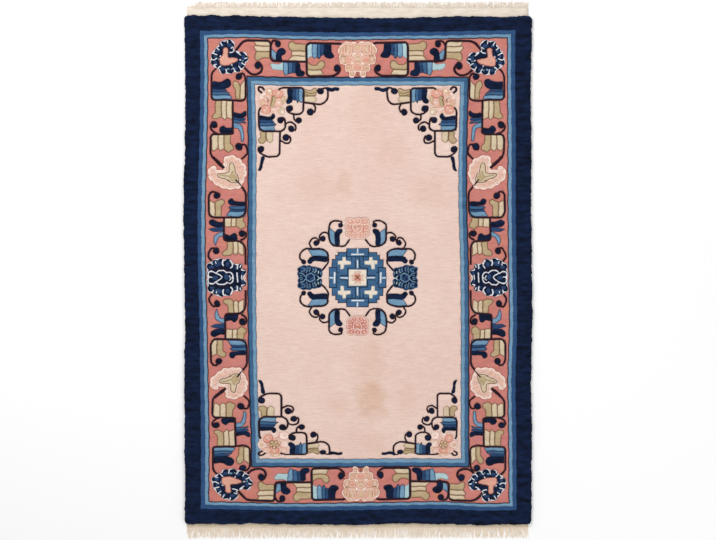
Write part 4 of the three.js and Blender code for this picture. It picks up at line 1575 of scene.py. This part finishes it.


# Each yarn: its dye, the darker and lighter ends of its unevenness, the painted shade at a groove's bottom
# (the share of its colour left there) and its title.
YARNS = {
    "navy": ("#070f22", "#02040a", "#15264a", 0.8, "indigo dyed wool, deepest bath"),
    "deep": ("#284166", "#1f3353", "#33507a", 0.85, "indigo dyed wool, deep bath"),
    "slate": ("#2d4b75", "#23406a", "#385b86", 0.72, "indigo dyed wool, dark middle bath"),
    "mid": ("#3b6086", "#2f5174", "#4c7399", 0.72, "indigo dyed wool, middle bath"),
    "light": ("#6f94b0", "#5b819f", "#86a9c2", 0.8, "indigo dyed wool, light bath"),
    "ice": ("#a9c6cb", "#98b6bd", "#bdd6d7", 0.95, "indigo dyed wool, last bath"),
    "rose": ("#c2786f", "#b26764", "#d28a7b", 0.6, "rose dyed wool"),
    "rosy": ("#cc7d74", "#c06d68", "#d88f84", 0.9, "rose dyed wool, rinsed"),
    "field": ("#e5c8bb", "#dcbcaf", "#ecd3c8", 0.84, "pale peach dyed wool"),
    "cream": ("#d3bfa2", "#c3ad8b", "#e1d0b6", 0.8, "undyed cream wool"),
    "tan": ("#b9a37f", "#a68f69", "#c8b390", 0.78, "wheat dyed wool, light bath"),
    "sand": ("#d8b494", "#cba584", "#e1c2a6", 0.9, "sand dyed wool"),
    "coral": ("#e0a08b", "#d28f7b", "#e8b19e", 0.88, "coral dyed wool"),
    "blush": ("#e4b8a3", "#d9aa95", "#ecc6b4", 0.92, "blush dyed wool"),
    "pink": ("#ebcdbf", "#e2bfb0", "#f2dacf", 0.95, "shell pink wool"),
    "shell": ("#f6ddd0", "#efd0c0", "#fbe8de", 0.97, "palest coral wool"),
    "bone": ("#e8dac8", "#dccbb8", "#f0e6d8", 0.9, "undyed bone white wool"),
    "ivory": ("#e6e6ec", "#d4d6e0", "#f2f1f4", 1.0, "bleached ivory wool"),
    "ink": ("#28131c", "#1c0c13", "#382030", 0.9, "iron-mordanted dark wool"),
    "brown": ("#86613f", "#745234", "#967050", 0.95, "walnut dyed wool"),
}
# How much of the wool's colour is the uneven part of its dye.
UNEVEN, UNEVEN_NAVY = 0.62, 0.95
# Scales of the noise in the materials, per metre across, up the rug and through it.
SKEINS, HANDFULS = (9, 60, 1), (34, 70, 1)
WARMTH, WARM_PATCHES = (22, 30, 1), (40, 26, 1)
AGEING = (5, 4, 1)
STAIN_EDGES = (14, 22, 1)
MOTTLES = (18, 70, 1)
KNOT_PITCH = 3.4
KNOT_ROWS = (24, 1 / (1.15 * KNOT_PITCH * MM), 1)
KNOT_TUFTS = (1 / (1.4 * KNOT_PITCH * MM), 1 / (1.1 * KNOT_PITCH * MM), 1)

# Soft old stains on the field: centre in m, half sizes in m, and how strongly each shows.
STAIN_COLOUR = "#d3ab93"
STAINS = (
    (0.045, -0.455, 0.06, 0.088, 0.57),
    (0.051, -0.33, 0.07, 0.17, 0.3),
    (-0.058, -0.474, 0.05, 0.045, 0.26),
    (0.174, -0.464, 0.04, 0.07, 0.26),
    (0.061, -0.615, 0.08, 0.06, 0.26),
    (-0.132, 0.282, 0.09, 0.06, 0.2),
    (-0.044, 0.296, 0.035, 0.07, 0.3),
    (0.262, 0.275, 0.10, 0.06, 0.22),
    (0.12, 0.42, 0.06, 0.07, 0.18),
    (0.026, 0.563, 0.09, 0.11, 0.22),
)


def noise_on(tree, place, scale, low, high, detail=2):
    """Noise stretched by a scale for each axis, spread out between two values."""
    stretched = node(tree, "ShaderNodeMapping", {"Vector": place, "Scale": scale})
    made = node(tree, "ShaderNodeTexNoise", {
        "Vector": stretched, "Scale": 1, "Detail": detail, "Roughness": 0.6}, noise_dimensions="2D")
    return node(tree, "ShaderNodeMapRange", {
        "Value": made, "From Min": 0.28, "From Max": 0.72, "To Min": low, "To Max": high})


def blend(tree, share, a, b):
    """Two noises added, the first with its share."""
    return maths(tree, "ADD", maths(tree, "MULTIPLY", a, share), maths(tree, "MULTIPLY", b, 1 - share))


def stained(tree, place, colour):
    """The field's stains, feathered out to nothing."""
    for x, y, rx, ry, strength in STAINS:
        near = node(tree, "ShaderNodeMapping", {
            "Vector": place, "Location": (x, y, 0), "Scale": (rx, ry, 1000)}, vector_type="TEXTURE")
        away = node(tree, "ShaderNodeVectorMath", {0: near}, operation="LENGTH").outputs["Value"]
        ragged = maths(tree, "ADD", away, noise_on(tree, place, STAIN_EDGES, -0.35, 0.35, 4))
        fade = node(tree, "ShaderNodeMapRange", {
            "Value": ragged, "From Min": 0.15, "From Max": 1.35, "To Min": strength, "To Max": 0,
        }, interpolation_type="SMOOTHERSTEP")
        colour = mixed(tree, fade, colour, STAIN_COLOUR)
    return colour


def new_material(title):
    """A material, its empty node tree and the object's own coordinates in it."""
    material = bpy.data.materials.new(title)
    material.use_nodes = True
    material.node_tree.nodes.clear()
    return material, material.node_tree, node(material.node_tree, "ShaderNodeTexCoord").outputs["Object"]


def finish(tree, colour, height, relief, surface):
    """Ends a material with its relief and its surface."""
    bump = node(tree, "ShaderNodeBump", {"Height": height, **relief})
    made = node(tree, "ShaderNodeBsdfPrincipled", {"Base Color": colour, "Normal": bump, **surface})
    node(tree, "ShaderNodeOutputMaterial", {"Surface": made})


def wool(yarn):
    """Sheared knotted pile: matt, with a soft sheen off the cut fibre ends."""
    dye, dark, light, painted_groove_shade, title = YARNS[yarn]
    material, tree, place = new_material(title)
    # the dye took unevenly, and each skein ran out part way across
    skeins = noise_on(tree, place, SKEINS, 0, 1, 4)
    uneven = blend(tree, 0.5, skeins, noise_on(tree, place, HANDFULS, 0, 1, 3))
    amount = UNEVEN_NAVY if yarn == "navy" else UNEVEN
    shade = mixed(tree, amount, dye, mixed(tree, uneven, dark, light))
    if yarn == "rose":
        warmth = noise_on(tree, place, WARMTH, 0, 0.75, 3)
        warm = mixed(tree, noise_on(tree, place, WARM_PATCHES, 0, 1), "#c98086", "#d08468")
        shade = mixed(tree, warmth, shade, warm)
    if yarn == "field":
        aged = mixed(tree, noise_on(tree, place, AGEING, 0, 1, 4), "#e2c0b4", "#ebd3c6")
        shade = stained(tree, place, mixed(tree, 0.4, shade, aged))
    # knots stand in rows across the rug, each row a shade off the next
    rows = noise_on(tree, place, KNOT_ROWS, 0.935, 1.06)
    tufts = noise_on(tree, place, KNOT_TUFTS, 0.93, 1.06)
    # painted shade: the carve attribute darkens the colour towards a groove's bottom, standing in for the
    # shade that falls there
    carve = node(tree, "ShaderNodeAttribute", attribute_name="carve").outputs["Fac"]
    shadow = node(tree, "ShaderNodeMapRange", {"Value": carve, "To Min": 1, "To Max": painted_groove_shade})
    level = maths(tree, "MULTIPLY", maths(tree, "MULTIPLY", rows, tufts), shadow)
    seen = node(tree, "ShaderNodeVectorMath", {0: shade, "Scale": level}, operation="SCALE")
    fibre = node(tree, "ShaderNodeTexNoise", {"Vector": place, "Scale": 900, "Detail": 3, "Roughness": 0.7})
    height = maths(tree, "ADD", maths(tree, "MULTIPLY", tufts, 4), fibre)
    finish(tree, seen, height, {"Strength": 0.6, "Distance": 0.0014}, {
        "Roughness": 0.97, "Sheen Weight": 0.06, "Sheen Roughness": 0.5, "Specular IOR Level": 0.12})
    return material


def cotton(title, grain, dark, light, lower_end_tones):
    """Undyed cotton, its streaks along its grain, and another pair of tones towards the rug's lower end."""
    material, tree, place = new_material(title)
    streaks = noise_on(tree, place, grain, 0, 1, 3)
    uneven = blend(tree, 0.6, streaks, noise_on(tree, place, MOTTLES, 0, 1, 3))
    along = node(tree, "ShaderNodeSeparateXYZ", {0: place}).outputs["Y"]
    lower = maths(tree, "LESS_THAN", along, 0)
    # towards the lower end: on the cloth a darker pair, and on the warps a lighter pair, painted light that
    # offsets the shade between the strands
    shade = mixed(tree, lower, mixed(tree, uneven, dark, light), mixed(tree, uneven, *lower_end_tones))
    plies = node(tree, "ShaderNodeTexWave", {
        "Vector": place, "Scale": 260, "Distortion": 1.5, "Detail": 1,
    }, wave_type="BANDS", bands_direction="DIAGONAL").outputs["Fac"]
    finish(tree, shade, plies, {"Strength": 0.4, "Distance": 0.0005}, {
        "Roughness": 0.92, "Sheen Weight": 0.1, "Specular IOR Level": 0.25})
    return material


# The floor's half size and height in m, and the lamps: name, place in m, size in m and power in W.
FLOOR_REACH, FLOOR_LEVEL = 6, -0.0004
LAMPS = (("key", (-1.6, 2.6, 3.2), 2.2, 95), ("fill", (2.4, -1.8, 3.4), 3.0, 42))


def studio():
    """A pale floor and soft light."""
    mesh = bpy.data.meshes.new("floor")
    corners = xy(-1, -1, 1, -1, 1, 1, -1, 1, sx=FLOOR_REACH, sy=FLOOR_REACH)
    mesh.from_pydata([(x, y, FLOOR_LEVEL) for x, y in corners], [], [(0, 1, 2, 3)])
    floor = linked("floor", mesh)
    paint = bpy.data.materials.new("matt white floor")
    paint.use_nodes = True
    surface = paint.node_tree.nodes["Principled BSDF"]
    feed(paint.node_tree, surface, {"Base Color": "#fbfbfb", "Roughness": 0.9})
    mesh.materials.append(paint)

    world = bpy.data.worlds.new("studio")
    world.use_nodes = True
    feed(world.node_tree, world.node_tree.nodes["Background"], {"Color": (1, 1, 1, 1), "Strength": 0.62})
    bpy.context.scene.world = world
    for name, place, size, power in LAMPS:
        lamp = bpy.data.lights.new(name, "AREA")
        lamp.size = size
        lamp.energy = power
        light = linked(name, lamp)
        light.location = place
        light.rotation_euler = (-Vector(place)).to_track_quat("-Z", "Y").to_euler()


# The photograph's frame in chart squares, the rug's centre within it, and the camera's film and height.
FRAME_WIDTH_SQUARES, FRAME_HEIGHT_SQUARES = 716, 540
RUG_CENTRE_IN_FRAME = (357.6, 270.15)
FILM_WIDTH_MM = 36
CAMERA_HEIGHT = 12


def camera():
    """A camera straight above that frames the rug as the photograph does."""
    lens = bpy.data.cameras.new("above")
    lens.sensor_fit = "HORIZONTAL"
    lens.sensor_width = FILM_WIDTH_MM
    lens.lens = FILM_WIDTH_MM * (CAMERA_HEIGHT - PILE_HEIGHT * MM) / (FRAME_WIDTH_SQUARES * SQUARE * MM)
    lens.clip_end = 100
    eye = linked("above", lens)
    eye.location = (
        (FRAME_WIDTH_SQUARES / 2 - RUG_CENTRE_IN_FRAME[0]) * SQUARE * MM,
        (RUG_CENTRE_IN_FRAME[1] - FRAME_HEIGHT_SQUARES / 2) * SQUARE * MM,
        CAMERA_HEIGHT,
    )
    bpy.context.scene.camera = eye


camera()
studio()
bpy.context.scene.view_settings.view_transform = "Standard"

pile = knot_pile()
for yarn, piece in pile.items():
    piece.data.materials.append(wool(yarn))
foundation = weave_foundation()
# the cloth's lower-end pair of tones is darker than its own
foundation.data.materials.append(
    cotton("plain-woven undyed cotton", (30, 330, 1), "#d5c6b3", "#f2e9dd", ("#c3af94", "#e6d8c2")))
# painted light: the warps of the lower fringe are painted lighter, to offset the shade that falls between
# their strands
warps = cotton("plied undyed cotton warps", (420, 30, 1), "#e0cfba", "#fff4e6", ("#f4dcc2", "#fff4e2"))
tree = fringe_tree()
fringes = [fringe(tree, facts, warps) for facts in FRINGES]

for piece in pile.values():
    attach(piece, "root")
    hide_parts("rug_pile")
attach(foundation, "root")
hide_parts("web_fringe_top", "web_fringe_bottom")
for piece, node_name in zip(fringes, ("web_fringe_top", "web_fringe_bottom")):
    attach(piece, "root")
    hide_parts(node_name)
